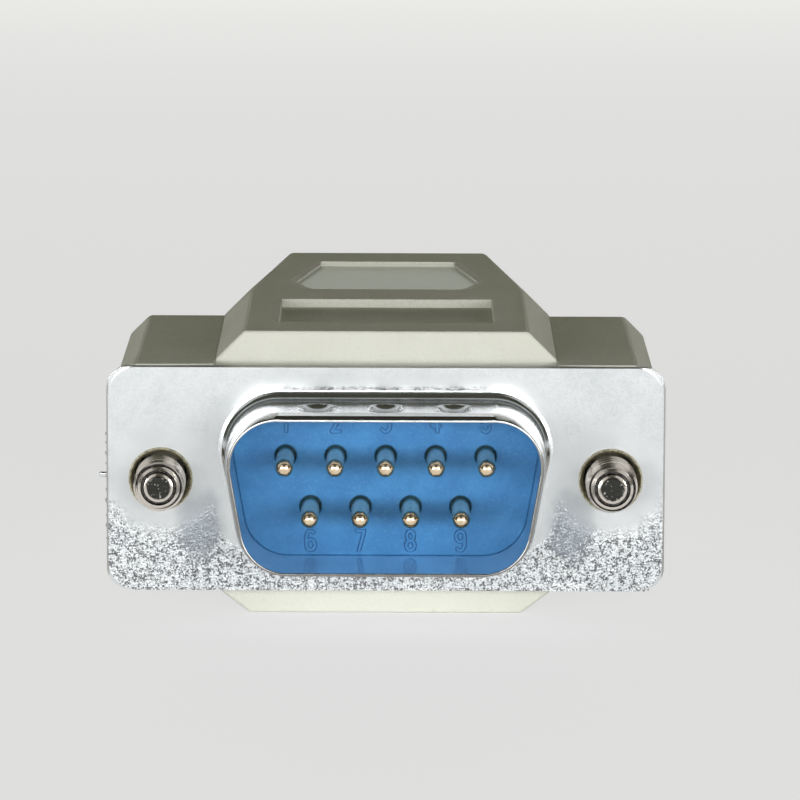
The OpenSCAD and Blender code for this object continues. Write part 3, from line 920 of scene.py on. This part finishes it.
# Depths are along Y, and the rest are radii, widths and heights, in mm
insulator = {
    "face": -0.5, "behind": 0.35, "joint": 2.5, "edge": 0.05,
    "front": -0.02, "seat": -0.004, "wide": 0.75,   # what the D grows by
    "hole": 0.59, "mouth": 0.655, "mouthDepth": 0.10, "collar": 0.86, "collarDepth": 0.3,
    "numeralZ": 3.34, "numeralWide": 0.235, "numeralHigh": 0.54, "divide": 2.5,
    "strokeOuter": 0.26, "strokeInner": 0.135, "grooveDepth": 0.11, "strokeProud": 0.012,
}


# An arc, given by its middle, its half axes and two angles in degrees
def curl(centre, wide, high, start, end, steps=14):
    line = []
    for i in range(steps + 1):
        a = math.radians(start + (end - start) * i / steps)
        line.append((centre[0] + wide * math.cos(a), centre[1] + high * math.sin(a)))
    return line


def ring(centre, wide, high):
    return [curl(centre, wide, high, 80, 280), curl(centre, wide, high, -100, 100)]


# Middle lines of each numeral's strokes, in units of its half width and half height
numeralStrokes = {
    1: [[(0.1, 1), (0.1, -1)], [(0.1, 1), (-0.45, 0.62)]],
    2: [curl((0, 0.5), 0.95, 0.5, 165, -25), [(0.86, 0.29), (-0.9, -1)], [(-0.9, -1), (0.95, -1)]],
    3: [curl((-0.05, 0.5), 0.9, 0.5, 150, -85), curl((-0.05, -0.5), 1, 0.5, 85, -150)],
    4: [[(0.35, 1), (0.35, -1)], [(0.35, 1), (-0.95, -0.4)], [(-0.95, -0.4), (0.95, -0.4)]],
    5: [[(0.8, 1), (-0.75, 1)], [(-0.75, 1), (-0.85, 0.15)],
        curl((-0.05, -0.4), 1, 0.6, 140, -150)],
    6: ring((0, -0.45), 1, 0.55) + [[(-1, -0.45), (-1, 0.3)] + curl((0, 0.3), 1, 0.7, 172, 50, 8)],
    7: [[(-0.85, 1), (0.9, 1)], [(0.9, 1), (-0.35, -1)]],
    8: ring((0, 0.5), 0.82, 0.5) + ring((0, -0.5), 1, 0.5),
    9: ring((0, 0.45), 1, 0.55) + [[(1, 0.45), (1, -0.3)] + curl((0, -0.3), 1, 0.7, -8, -130, 8)],
}


# A flat outline in X and Z carried from y0 to y1
def prism(name, outline, y0, y1):
    piece = firstFace(name, [(x, y0, z) for x, z in outline])
    extrude(y1 - y0)
    return rightNormals(piece)


# One stroke with round ends as a solid from y0 to y1
def stroke(line, width, y0, y1):
    left, right = [], []
    for k, point in enumerate(line):
        a, b = Vector(line[max(k - 1, 0)]), Vector(line[min(k + 1, len(line) - 1)])
        side = (b - a).normalized().orthogonal() * width / 2
        left.append(Vector(point) + side)
        right.append(Vector(point) - side)

    def cap(at, rim):
        return [at + Matrix.Rotation(-math.pi * k / 8, 2) @ (rim - at) for k in range(1, 8)]

    ends = cap(Vector(line[-1]), left[-1]), cap(Vector(line[0]), right[0])
    return prism("stroke", left + ends[0] + right[::-1] + ends[1], y0, y1)


# The nine numerals as solids from y0 to y1
def numerals(width, y0, y1):
    i = insulator
    marks = []
    for n, strokes in numeralStrokes.items():
        x, z = contactPlace(n)
        z = math.copysign(i["numeralZ"], z)
        lines = [
            [(x + u * i["numeralWide"], z + v * i["numeralHigh"]) for u, v in line]
            for line in strokes
        ]
        solids = [stroke(line, width, y0, y1) for line in lines]
        marks.append(addTo(solids[0], *solids[1:]))
    return joined("numerals", marks)


def onFace(face):
    return face.normal.y < -0.99 and middle(face).y < insulator["face"] + close


# The face is divided between the numerals, which keeps each cut in a small face
def divideFace(body):
    band, half = insulator["divide"], contactGrid["pitch"] / 2
    for z in (band, -band):
        divide(body, onFace, (0, 0, z), (0, 0, 1))
    for n in range(-3, 4):
        up = 1 if n % 2 else -1
        divide(
            body, lambda f: onFace(f) and middle(f).z * up > band, (n * half, 0, 0), (1, 0, 0)
        )


def makeInsulator():
    i = insulator
    face, behind, joint = i["face"], i["behind"], i["joint"]
    body = dBlock("frontInsulator", i["front"], face, behind + 0.2)
    roundEdges(
        body, lambda e: middle(e).y < face + close and abs(edgeWay(e).y) < 0.5, i["edge"], 2
    )
    # just behind its edge the face block fills the shroud
    addTo(body, dBlock("seat", i["seat"], face + 0.06, behind + 0.1))
    addTo(body, dBlock("insulatorCollar", i["wide"], behind, joint))
    divideFace(body)
    bottom = face + i["grooveDepth"]
    cutBy(body, numerals(i["strokeOuter"], face - 0.1, bottom))
    addTo(body, numerals(i["strokeInner"], face - i["strokeProud"], bottom + 0.1))
    # the pin holes come last
    collarFrom = joint - i["collarDepth"]
    holes = [turned("pinHole", [
        (face - 0.2, i["mouth"]), (face, i["mouth"]), (face + i["mouthDepth"], i["hole"]),
        (collarFrom, i["hole"]), (collarFrom, i["collar"]), (joint + 0.2, i["collar"]),
    ], contactPlace(n), 40) for n in range(1, contactGrid["count"] + 1)]
    return cutBy(body, joined("pinHoles", holes))


print("insulator")
finishPiece(makeInsulator(), blue, "plug", "front_insulator")


# Depths along Y and radii, in mm
contact = {
    "tip": -4.95, "pin": 0.5, "inside": -0.35, "body": 0.55, "collar": 0.85, "chamfer": 0.05,
    "collarFrom": 2.2, "collarTo": 2.8, "cupFrom": 7.0, "cup": 0.95, "cupBore": 0.63,
    "cupFloor": 0.6, "cupLength": 3.5, "scoop": 0.15, "scoopFrom": 0.4, "scoopRound": 0.35,
}


def makeContact():
    c = contact
    r, body, collar, ease = c["pin"], c["body"], c["collar"], c["chamfer"]
    cup, front, back = c["cup"], c["cupFrom"], c["cupFrom"] + c["cupLength"]
    tip = [(c["tip"] + r - r * math.cos(a), r * math.sin(a))
           for a in (math.radians(d) for d in range(8, 91, 8))]
    piece = turned("contact", tip + [
        (c["inside"], r), (c["inside"] + ease, body),
        (c["collarFrom"] - ease, body), (c["collarFrom"], collar - ease),
        (c["collarFrom"] + ease, collar), (c["collarTo"] - ease, collar),
        (c["collarTo"], collar - ease), (c["collarTo"] + 0.02, body), (front - 0.02, body),
        (front + 0.05, cup - 0.08), (front + 0.15, cup), (back - 0.06, cup), (back, cup - 0.06),
    ], sides=32)
    floor = front + c["cupFloor"]
    bore = turned("cupBore", [
        (floor, 0.05), (floor + 0.2, c["cupBore"]), (back + 0.5, c["cupBore"]),
    ], sides=28)
    scoopFrom = front + c["cupLength"] * c["scoopFrom"]
    scoop = block("scoop", (-2, scoopFrom, c["scoop"]), (2, back + 1, 2))
    roundEdges(
        scoop, lambda e: middle(e).z < c["scoop"] + close and middle(e).y < scoopFrom + close,
        c["scoopRound"], 5,
    )
    return rightNormals(cutBy(piece, bore, scoop))


print("contacts")
pattern = makeContact()
for n in range(1, contactGrid["count"] + 1):
    x, z = contactPlace(n)
    # the lower row is turned over, so that its cups open downwards
    one = copyOf(pattern, "contact%d" % n, (x, 0, z), (0, math.pi if z < 0 else 0, 0))
    finishPiece(one, gold, "plug", "contact_%d" % n)
bpy.data.objects.remove(pattern, do_unlink=True)


# Radii and depths along Y, in mm
eyelet = {
    "bore": 1.525, "barrel": 1.685, "lip": 1.775, "flare": 1.955,
    "front": -0.1, "flareFrom": 0.7, "back": 0.85,
}


def makeEyelet(name, side):
    e = eyelet
    bore, barrel, lip, flare = e["bore"], e["barrel"], e["lip"], e["flare"]
    y0, y1 = e["front"], e["back"]
    return turned(name, [
        (0.30, bore), (0.12, bore + 0.02), (y0 + 0.07, bore + 0.09), (y0 + 0.02, bore + 0.14),
        (y0, bore + 0.18), (y0 + 0.015, lip - 0.03), (y0 + 0.05, lip), (0, lip), (0, barrel),
        (e["flareFrom"], barrel), (e["flareFrom"], flare), (y1 - 0.05, flare),
        (y1, flare - 0.05), (y1, bore + 0.1), (y1 - 0.06, bore), (0.30, bore),
    ], (side * dShape["holeX"], 0), 72, closed=False)


print("eyelets")
for side, word in ((-1, "left"), (1, "right")):
    one = makeEyelet("eyelet" + word.title(), side)
    finishPiece(one, brass, "plug", "eyelet_" + word)


# Depths along Y and radii, in mm
jackscrew = {
    "tip": -3.0, "crest": 1.42, "root": 1.09, "pitch": 0.635, "turns": 6,
    "threadEnd": -0.15, "shank": 1.2, "neck": 0.95, "clipFront": 10.05, "clipBack": 10.95,
    "headFront": 19.6, "head": 2.5, "headLength": 14.0, "knurls": 20, "knurlDepth": 0.2,
    "gripEnd": 1.0, "slotWidth": 0.9, "slotDeep": 1.6, "rightTurn": 140,   # degrees
    # the ringed end: how far behind the tip, and the radius
    "end": [
        (0, 0.60), (0.05, 0.65), (0.11, 0.80), (0.40, 0.85), (0.40, 0.95), (0.17, 1.00),
        (0.25, 1.15), (0.44, 1.19), (0.44, 1.25), (0.36, 1.29),
    ],
    # the head's ends: how far in from the end, and how much less than its radius
    "headNear": [(0, 0.42), (0.05, 0.36), (0.75, 0.30), (1.0, 0.04), (1.04, 0)],
    "headFar": [(1.04, 0), (1.0, 0.03), (0.75, 0.28), (0.40, 0.30), (0.12, 0.42), (0, 0.62)],
}


# One closed tooth, wound into a coil
def makeThread():
    j = jackscrew
    half, turns, foot = j["pitch"] / 2, j["turns"], j["root"] - 0.15
    corners = [
        (foot, -half * 0.93), (j["crest"], -half * 0.16),
        (j["crest"], half * 0.16), (foot, half * 0.93),
    ]
    clearSelection()
    bpy.ops.mesh.primitive_plane_add(size=1)
    tooth = named("thread")
    for vertex, n in zip(tooth.data.vertices, (0, 1, 3, 2)):
        vertex.co = Vector((corners[n][0], 0, corners[n][1]))
    useModifier(
        tooth, "SCREW", axis="Z", angle=math.tau * turns, screw_offset=j["pitch"] * turns,
        steps=40 * turns, render_steps=40 * turns, iterations=1, use_normal_calculate=True,
    )
    # the coil's open ends are closed
    choose(tooth, "EDGE", lambda e: False)
    bpy.ops.mesh.select_non_manifold(extend=False, use_wire=True, use_boundary=True)
    bpy.ops.mesh.edge_face_add()
    leaveEdit()
    return rightNormals(tooth)


def makeHead():
    j = jackscrew
    r, y0, y1, grip = j["head"], j["headFront"], j["headFront"] + j["headLength"], j["gripEnd"]
    sides = 3 * j["knurls"]
    profile = [(y0 + run, r - less) for run, less in j["headNear"]]
    profile += [(y1 - run, r - less) for run, less in j["headFar"]]
    head = turned("head", profile, sides=sides)
    # every third edge line of the grip is drawn in to make the knurls
    choose(head, "VERT", lambda v: y0 + grip < v.co.y < y1 - grip
           and round(math.atan2(v.co.z, v.co.x) / math.tau * sides) % 3 == 0)
    ratio = 1 - j["knurlDepth"] / r
    bpy.ops.transform.resize(value=(ratio, 1, ratio), center_override=(0, 0, 0))
    leaveEdit()
    deep, half = j["slotDeep"], j["slotWidth"] / 2
    return cutBy(head, block("slot", (-4, y1 - deep, -half), (4, y1 + 1, half)))


def makeJackscrew():
    j = jackscrew
    tip, end, crest, root, shank = (j[k] for k in ("tip", "threadEnd", "crest", "root", "shank"))
    front, back = j["clipFront"], j["clipBack"]
    # threaded end: core and coil, then trimmed by the turned outline of the blank
    core = turned("threadCore", [(tip - 0.2, root), (end + 0.05, root)], sides=64)
    addTo(core, putAt(makeThread(), (0, end + 0.3, 0), (math.pi / 2, 0, 0)))
    blank = turned("blank", [(tip + run, r) for run, r in j["end"]] + [
        (tip + 0.66, crest), (end, crest), (end + 0.22, shank), (end + 0.3, shank),
    ], sides=96)
    boolean(core, blank, "INTERSECT")
    rest = turned("jackscrew", [
        (end - 0.3, root - 0.1), (end - 0.05, root - 0.1), (end - 0.03, shank),
        (front - 0.04, shank), (front, shank - 0.04), (front, j["neck"]),
        (back, j["neck"]), (back, shank - 0.04), (back + 0.04, shank),
        (j["headFront"] + 0.02, shank),
    ], sides=64)
    return rightNormals(addTo(rest, core, makeHead()))


print("jackscrews")
pattern = makeJackscrew()
for side, word, turn in ((-1, "left", 0), (1, "right", jackscrew["rightTurn"])):
    place = (side * dShape["holeX"], 0, 0)
    one = copyOf(pattern, "jackscrew" + word.title(), place, (0, math.radians(turn), 0))
    finishPiece(one, screwFinish, word + "_screw", "jackscrew_" + word, 30)
bpy.data.objects.remove(pattern, do_unlink=True)


# Half widths, heights above the middle and depths along Y in mm, and the taper in degrees
hood = {
    "half": 9.575, "height": 8.0, "front": 2.2, "earBack": 19.5, "back": 35.0,
    "topCut": (1.64, 1.64), "lowCut": (1.95, 1.5), "taper": 7.3, "rearCut": 0.8,
    "earOut": 15.095, "earHeight": 6.36, "earCut": 1.15, "earFront": 0.7,
    "edge": 0.16, "rearRound": 0.45, "parting": 0.07,   # roundings
    "inset": 0.004, "lip": 0.8, "nub": (14.55, 10.5, 5.70), "nubSize": 0.16,
}


# The centre body's outline, drawn in by g all round, between two depths
def hoodBody(name, g, y0, y1, z0, z1):
    h = hood
    half, height, earBack = h["half"], h["height"], h["earBack"]
    body = block(name, (-half + g, y0, z0), (half - g, y1, z1))
    tan, sin, cos = (f(math.radians(h["taper"])) for f in (math.tan, math.sin, math.cos))
    rearHalf = half - (h["back"] - earBack) * tan
    for side in (-1, 1):
        trim(body, (side * (half - g), earBack, 0), (side * cos, sin, 0))
        trim(body, (side * (rearHalf - g), h["back"] - h["rearCut"] - g, 0), (side, 1, 0))
        for up, (wide, high) in ((1, h["topCut"]), (-1, h["lowCut"])):
            out = Vector((side * high, 0, up * wide)).normalized()
            edge = Vector((side * half, earBack, up * (height - high))) - out * g
            trim(body, edge, out)
            trim(body, edge, Vector((out.x * cos, abs(out.x) * sin, out.z)))
    return body


def hoodEar(side):
    h = hood
    g = h["inset"]
    x0, x1 = sorted((side * (h["half"] - 0.02), side * (h["earOut"] - g)))
    top = h["earHeight"] - g
    ear = block("ear", (x0, h["earFront"] + g, -top), (x1, h["earBack"] - g, top))
    for up in (-1, 1):
        way = Vector((side, 0, up)).normalized()
        corner = Vector((side * h["earOut"], 0, up * (h["earHeight"] - h["earCut"])))
        trim(ear, corner - way * g, way)
    roundEdges(ear, lambda e: abs(middle(e).x) > h["half"] and isSharp(e), h["edge"], 3)
    return rightNormals(ear)


# The outside of the hood with rounded edges
def hoodOutside(name):
    h = hood
    g, top = h["inset"], h["height"] - h["inset"]
    rear = h["back"] - h["rearCut"] - 0.5
    body = hoodBody(name, g, h["front"] + g, h["back"] - g, -top, top)
    roundEdges(
        body, lambda e: middle(e).y > rear and abs(edgeWay(e).z) > 0.9, h["rearRound"], 4
    )
    rightNormals(body)
    roundEdges(body, isSharp, h["edge"], 3)
    rightNormals(body)
    return addTo(body, hoodEar(-1), hoodEar(1), ball(h["nub"], h["nubSize"], 16, 10))


# A solid through rings of equally many points, from the first down to the last
def loft(name, rings):
    piece = firstFace(name, rings[0])
    for above, below in zip(rings, rings[1:]):
        extrude(0)
        net = bmesh.from_edit_mesh(piece.data)
        for vertex in [v for v in net.verts if v.select]:
            gaps = [(Vector(point) - vertex.co).length for point in above]
            vertex.co = Vector(below[gaps.index(min(gaps))])
        bmesh.update_edit_mesh(piece.data)
    return rightNormals(piece)


# The recesses in the hood's top: half widths, and depths along Y, in mm
frontRecess = {
    "half": 6.05, "from": 5.7, "to": 14.9, "rim": 0.08, "draft": 0.14,
    # the rear wall runs out into the floor: how far forward, and how far down
    "rearWall": [
        (0.02, 0.14), (0.08, 0.23), (0.22, 0.30), (0.5, 0.36), (0.95, 0.41),
        (1.6, 0.452), (2.5, 0.485), (3.6, 0.5),
    ],
}
rearRecess = {
    "half": 5.5, "near": 4.3, "rear": 4.05, "from": 22.8, "to": 31.0, "bow": 3.1,
    "corner": 0.45, "shoulder": (0.2, 0.9),
    # from above the hood down to the floor: drawn in at the front, sides and rear, and down
    "walls": [
        (-1.0, -0.35, -0.06, -0.3), (-1.0, -0.35, -0.06, 0), (-0.7, -0.25, 0, 0.012),
        (0.3, 0.25, 0, 0.19), (0.8, 0.45, 0.05, 0.22),
    ],
}


def makeFrontRecess(top):
    r = frontRecess
    rim = r["rim"]
    steps = [(-rim, -rim, -0.3), (-rim, -rim, 0), (0, 0, rim)]   # sides, rear, down
    steps += [(r["draft"] * down, rear, down) for rear, down in r["rearWall"]]
    rings = []
    for sides, rear, down in steps:
        x, y0, y1, z = r["half"] - sides, r["from"] + sides, r["to"] - rear, top - down
        rings.append([(-x, y0, z), (x, y0, z), (x, y1, z), (-x, y1, z)])
    return loft("frontRecess", rings)


def makeRearRecess(top):
    r = rearRecess
    corner, (sx, sy) = r["corner"], r["shoulder"]
    rings = []
    for front, sides, rear, down in r["walls"]:
        near, half, back = (r[k] - sides for k in ("near", "half", "rear"))
        y0, y1, y2 = r["from"] - r["bow"] + front, r["from"] + front * 0.5, r["to"] - rear
        right = [(near, y0), (near + corner, y0 + corner), (half - sx, y1 - sy), (half, y1),
                 (back, y2)]
        rings.append([(-near, y0, top - down)] + [(x, y, top - down) for x, y in right]
                     + [(-x, y, top - down) for x, y in right[:0:-1]])
    return loft("rearRecess", rings)


# The inside comes from the CAD solid: a merged copy of it is trimmed by the rounded outside
def fromNode(node, name, outside):
    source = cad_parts[node]
    twin = source.copy()
    twin.data = source.data.copy()
    for key in list(twin.keys()):
        del twin[key]
    bpy.context.collection.objects.link(twin)
    twin.parent = None
    twin.matrix_world = Matrix.Identity(4)
    twin.hide_render = False
    twin.scale = (1 / mm, 1 / mm, 1 / mm)
    settle(twin)
    editAll(twin)
    bpy.ops.mesh.remove_doubles(threshold=0.0005)
    bpy.ops.mesh.dissolve_limited(angle_limit=math.radians(0.2))
    leaveEdit()
    boolean(twin, outside, "INTERSECT")
    return named(name)


def makeHoodTop():
    h = hood
    top = h["height"] - h["inset"]
    outside = hoodOutside("hoodTopOutside")
    # the lower edge of the upper half is broken, which shows as the parting line
    trim(outside, (0, 0, -h["inset"]), (0, 0, -1))
    roundEdges(
        outside, lambda e: abs(middle(e).z) < close and abs(edgeWay(e).z) < 0.5 and isSharp(e),
        h["parting"], 2,
    )
    cutBy(outside, makeFrontRecess(top), makeRearRecess(top))
    addTo(outside, hoodBody("inner", h["lip"], h["front"] + 0.5, h["back"] - h["lip"], -1, 1))
    return fromNode("hood_top", "hoodTop", outside)


print("hood")
finishPiece(makeHoodTop(), plastic, "plug", "hood_top", 30)
bottom = fromNode("hood_bottom", "hoodBottom", hoodOutside("hoodBottomOutside"))
finishPiece(bottom, plastic, "plug", "hood_bottom", 30)

print("carried-over nodes")
for node, finish in {
    "rear_insulator": blue, "screw_clip_left": steel, "screw_clip_right": steel,
    "cable_clamp": zinc, "clamp_screw_left": nickel, "clamp_screw_right": nickel,
    "hood_screw_left": nickel, "hood_screw_right": nickel,
}.items():
    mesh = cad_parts[node].data
    mesh.materials.clear()
    mesh.materials.append(finish)


# Places and sizes in mm, powers in watts
studio = {
    "camera": (0.764, -300.0, 53.07),
    "yaw": 0.003, "pitch": 9.20, "roll": 0.206,   # degrees
    "lens": 246.87, "sensor": 36.0,
    "floor": ((0.80, 0.80, 0.80), (0.83, 0.83, 0.83)),
    "floorCloud": 90,
    "floorGlow": (0.96, 0.96, 0.96, 1),
    "floorSeen": {"Is Camera Ray": 0.7, "Is Glossy Ray": 0.72, "Is Transmission Ray": 0.8},
    "world": (1.0, 0.97, 0.62, 1), "worldLight": 0.045,
    "backdrop": 0.76, "backdropInGloss": 0.015,
    "card": (0.93, 1, 0.88, 1), "cardLight": 0.5,
    "cardPlace": (0, 400, 50), "cardSize": (1400, 120, 1000),
    # name, place, size, power, colour, lights dull surfaces, shows in gloss
    "lamps": [
        ("frontLeft", (-119, -267, 25), (220, 100), 0.51, (1, 1, 1), True, True),
        ("frontRight", (119, -267, 25), (220, 100), 0.51, (1, 1, 1), True, True),
        ("highLeft", (-150, -210, 150), (170, 130), 0.04, (1, 1, 1), False, True),
        ("highRight", (150, -210, 150), (170, 130), 0.04, (1, 1, 1), False, True),
        ("backFill", (0, 650, 70), (500, 100), 2.3, (1, 0.98, 0.86), True, False),
        ("top", (0, 20, 320), (260, 260), 0.024, (1, 0.98, 0.66), True, False),
    ],
}


# A pale card low behind the piece that only mirror-like surfaces see
def makeBackCard():
    s = studio
    clearSelection()
    bpy.ops.mesh.primitive_plane_add(
        size=1, location=Vector(s["cardPlace"]) * mm, rotation=(math.pi / 2, 0, 0)
    )
    card = named("backCard")
    card.scale = Vector(s["cardSize"]) * mm
    settle(card)
    f = Finish("backCardPaper", Base_Color=(0, 0, 0, 1), Emission_Color=s["card"],
               Emission_Strength=s["cardLight"])
    card.data.materials.append(f.material)
    card.visible_camera = False
    card.visible_diffuse = False
    card.visible_shadow = False
    card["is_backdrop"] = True


def makeFloor():
    s = studio
    clearSelection()
    bpy.ops.mesh.primitive_plane_add(size=6, location=(0, 0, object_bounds()[0].z))
    floor = named("floor")
    f = Finish("floorPaper", Roughness=0.9, Specular_IOR_Level=0.1)
    f.set(Base_Color=f.mix(f.noise(s["floorCloud"]), *s["floor"]))
    glow = f.node("ShaderNodeEmission", {}, {"Color": s["floorGlow"]})
    seen, inGloss, through = (
        f.node("ShaderNodeLightPath", {}, {}, ray) * share
        for ray, share in s["floorSeen"].items()
    )
    share = seen.most(inGloss).most(through)
    mixed = f.node(
        "ShaderNodeMixShader", {}, {0: share, 1: Wire(f, f.shader.outputs[0]), 2: glow}
    )
    f.feed(f.tree.nodes["Material Output"].inputs["Surface"], mixed)
    floor.data.materials.append(f.material)
    floor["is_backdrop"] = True


def makeWorld():
    s = studio
    world = bpy.data.worlds.new("studioWorld")
    bpy.context.scene.world = world
    world.use_nodes = True
    nodes, link = world.node_tree.nodes, world.node_tree.links.new
    light = nodes["Background"]
    light.inputs["Color"].default_value = s["world"]
    light.inputs["Strength"].default_value = s["worldLight"]
    backdrop = nodes.new("ShaderNodeBackground")
    backdrop.inputs["Color"].default_value = (1, 1, 1, 1)
    backdrop.inputs["Strength"].default_value = s["backdrop"]
    # the camera sees the backdrop, and gloss a small share of it
    rays = nodes.new("ShaderNodeLightPath")
    share = nodes.new("ShaderNodeMath")
    share.operation = "MULTIPLY_ADD"
    share.inputs[1].default_value = s["backdropInGloss"]
    link(rays.outputs["Is Glossy Ray"], share.inputs[0])
    link(rays.outputs["Is Camera Ray"], share.inputs[2])
    mix = nodes.new("ShaderNodeMixShader")
    for k, node in enumerate((share, light, backdrop)):
        link(node.outputs[0], mix.inputs[k])
    link(mix.outputs[0], nodes["World Output"].inputs["Surface"])


def makeLamp(name, place, size, watts, tone, dull, glossy):
    lamp = bpy.data.lights.new(name, "AREA")
    lamp.shape = "RECTANGLE"
    lamp.size, lamp.size_y = size[0] * mm, size[1] * mm
    lamp.energy = watts
    lamp.color = tone
    holder = bpy.data.objects.new(name, lamp)
    bpy.context.collection.objects.link(holder)
    holder.location = Vector(place) * mm
    holder.rotation_mode = "QUATERNION"
    holder.rotation_quaternion = (-Vector(place)).to_track_quat("-Z", "Y")
    holder.visible_glossy = glossy
    holder.visible_diffuse = dull


def makeCamera():
    s = studio
    yaw, pitch, roll = (math.radians(s[k]) for k in ("yaw", "pitch", "roll"))
    flat = Vector((math.sin(yaw), math.cos(yaw), 0))
    forward = flat * math.cos(pitch) - Vector((0, 0, math.sin(pitch)))
    level = Vector((flat.y, -flat.x, 0))
    right = level * math.cos(roll) + level.cross(forward) * math.sin(roll)
    data = bpy.data.cameras.new("camera")
    data.sensor_width = s["sensor"]
    data.lens = s["lens"]
    data.clip_start = 0.05
    data.clip_end = 20
    camera = bpy.data.objects.new("camera", data)
    bpy.context.collection.objects.link(camera)
    stand = Matrix((right, right.cross(forward), -forward)).transposed().to_4x4()
    stand.translation = Vector(s["camera"]) * mm
    camera.matrix_world = stand
    bpy.context.scene.camera = camera


print("studio")
makeBackCard()
makeFloor()
makeWorld()
for lamp in studio["lamps"]:
    makeLamp(*lamp)
makeCamera()
bpy.context.scene.view_settings.view_transform = "Standard"

clearSelection()
bpy.context.view_layer.update()
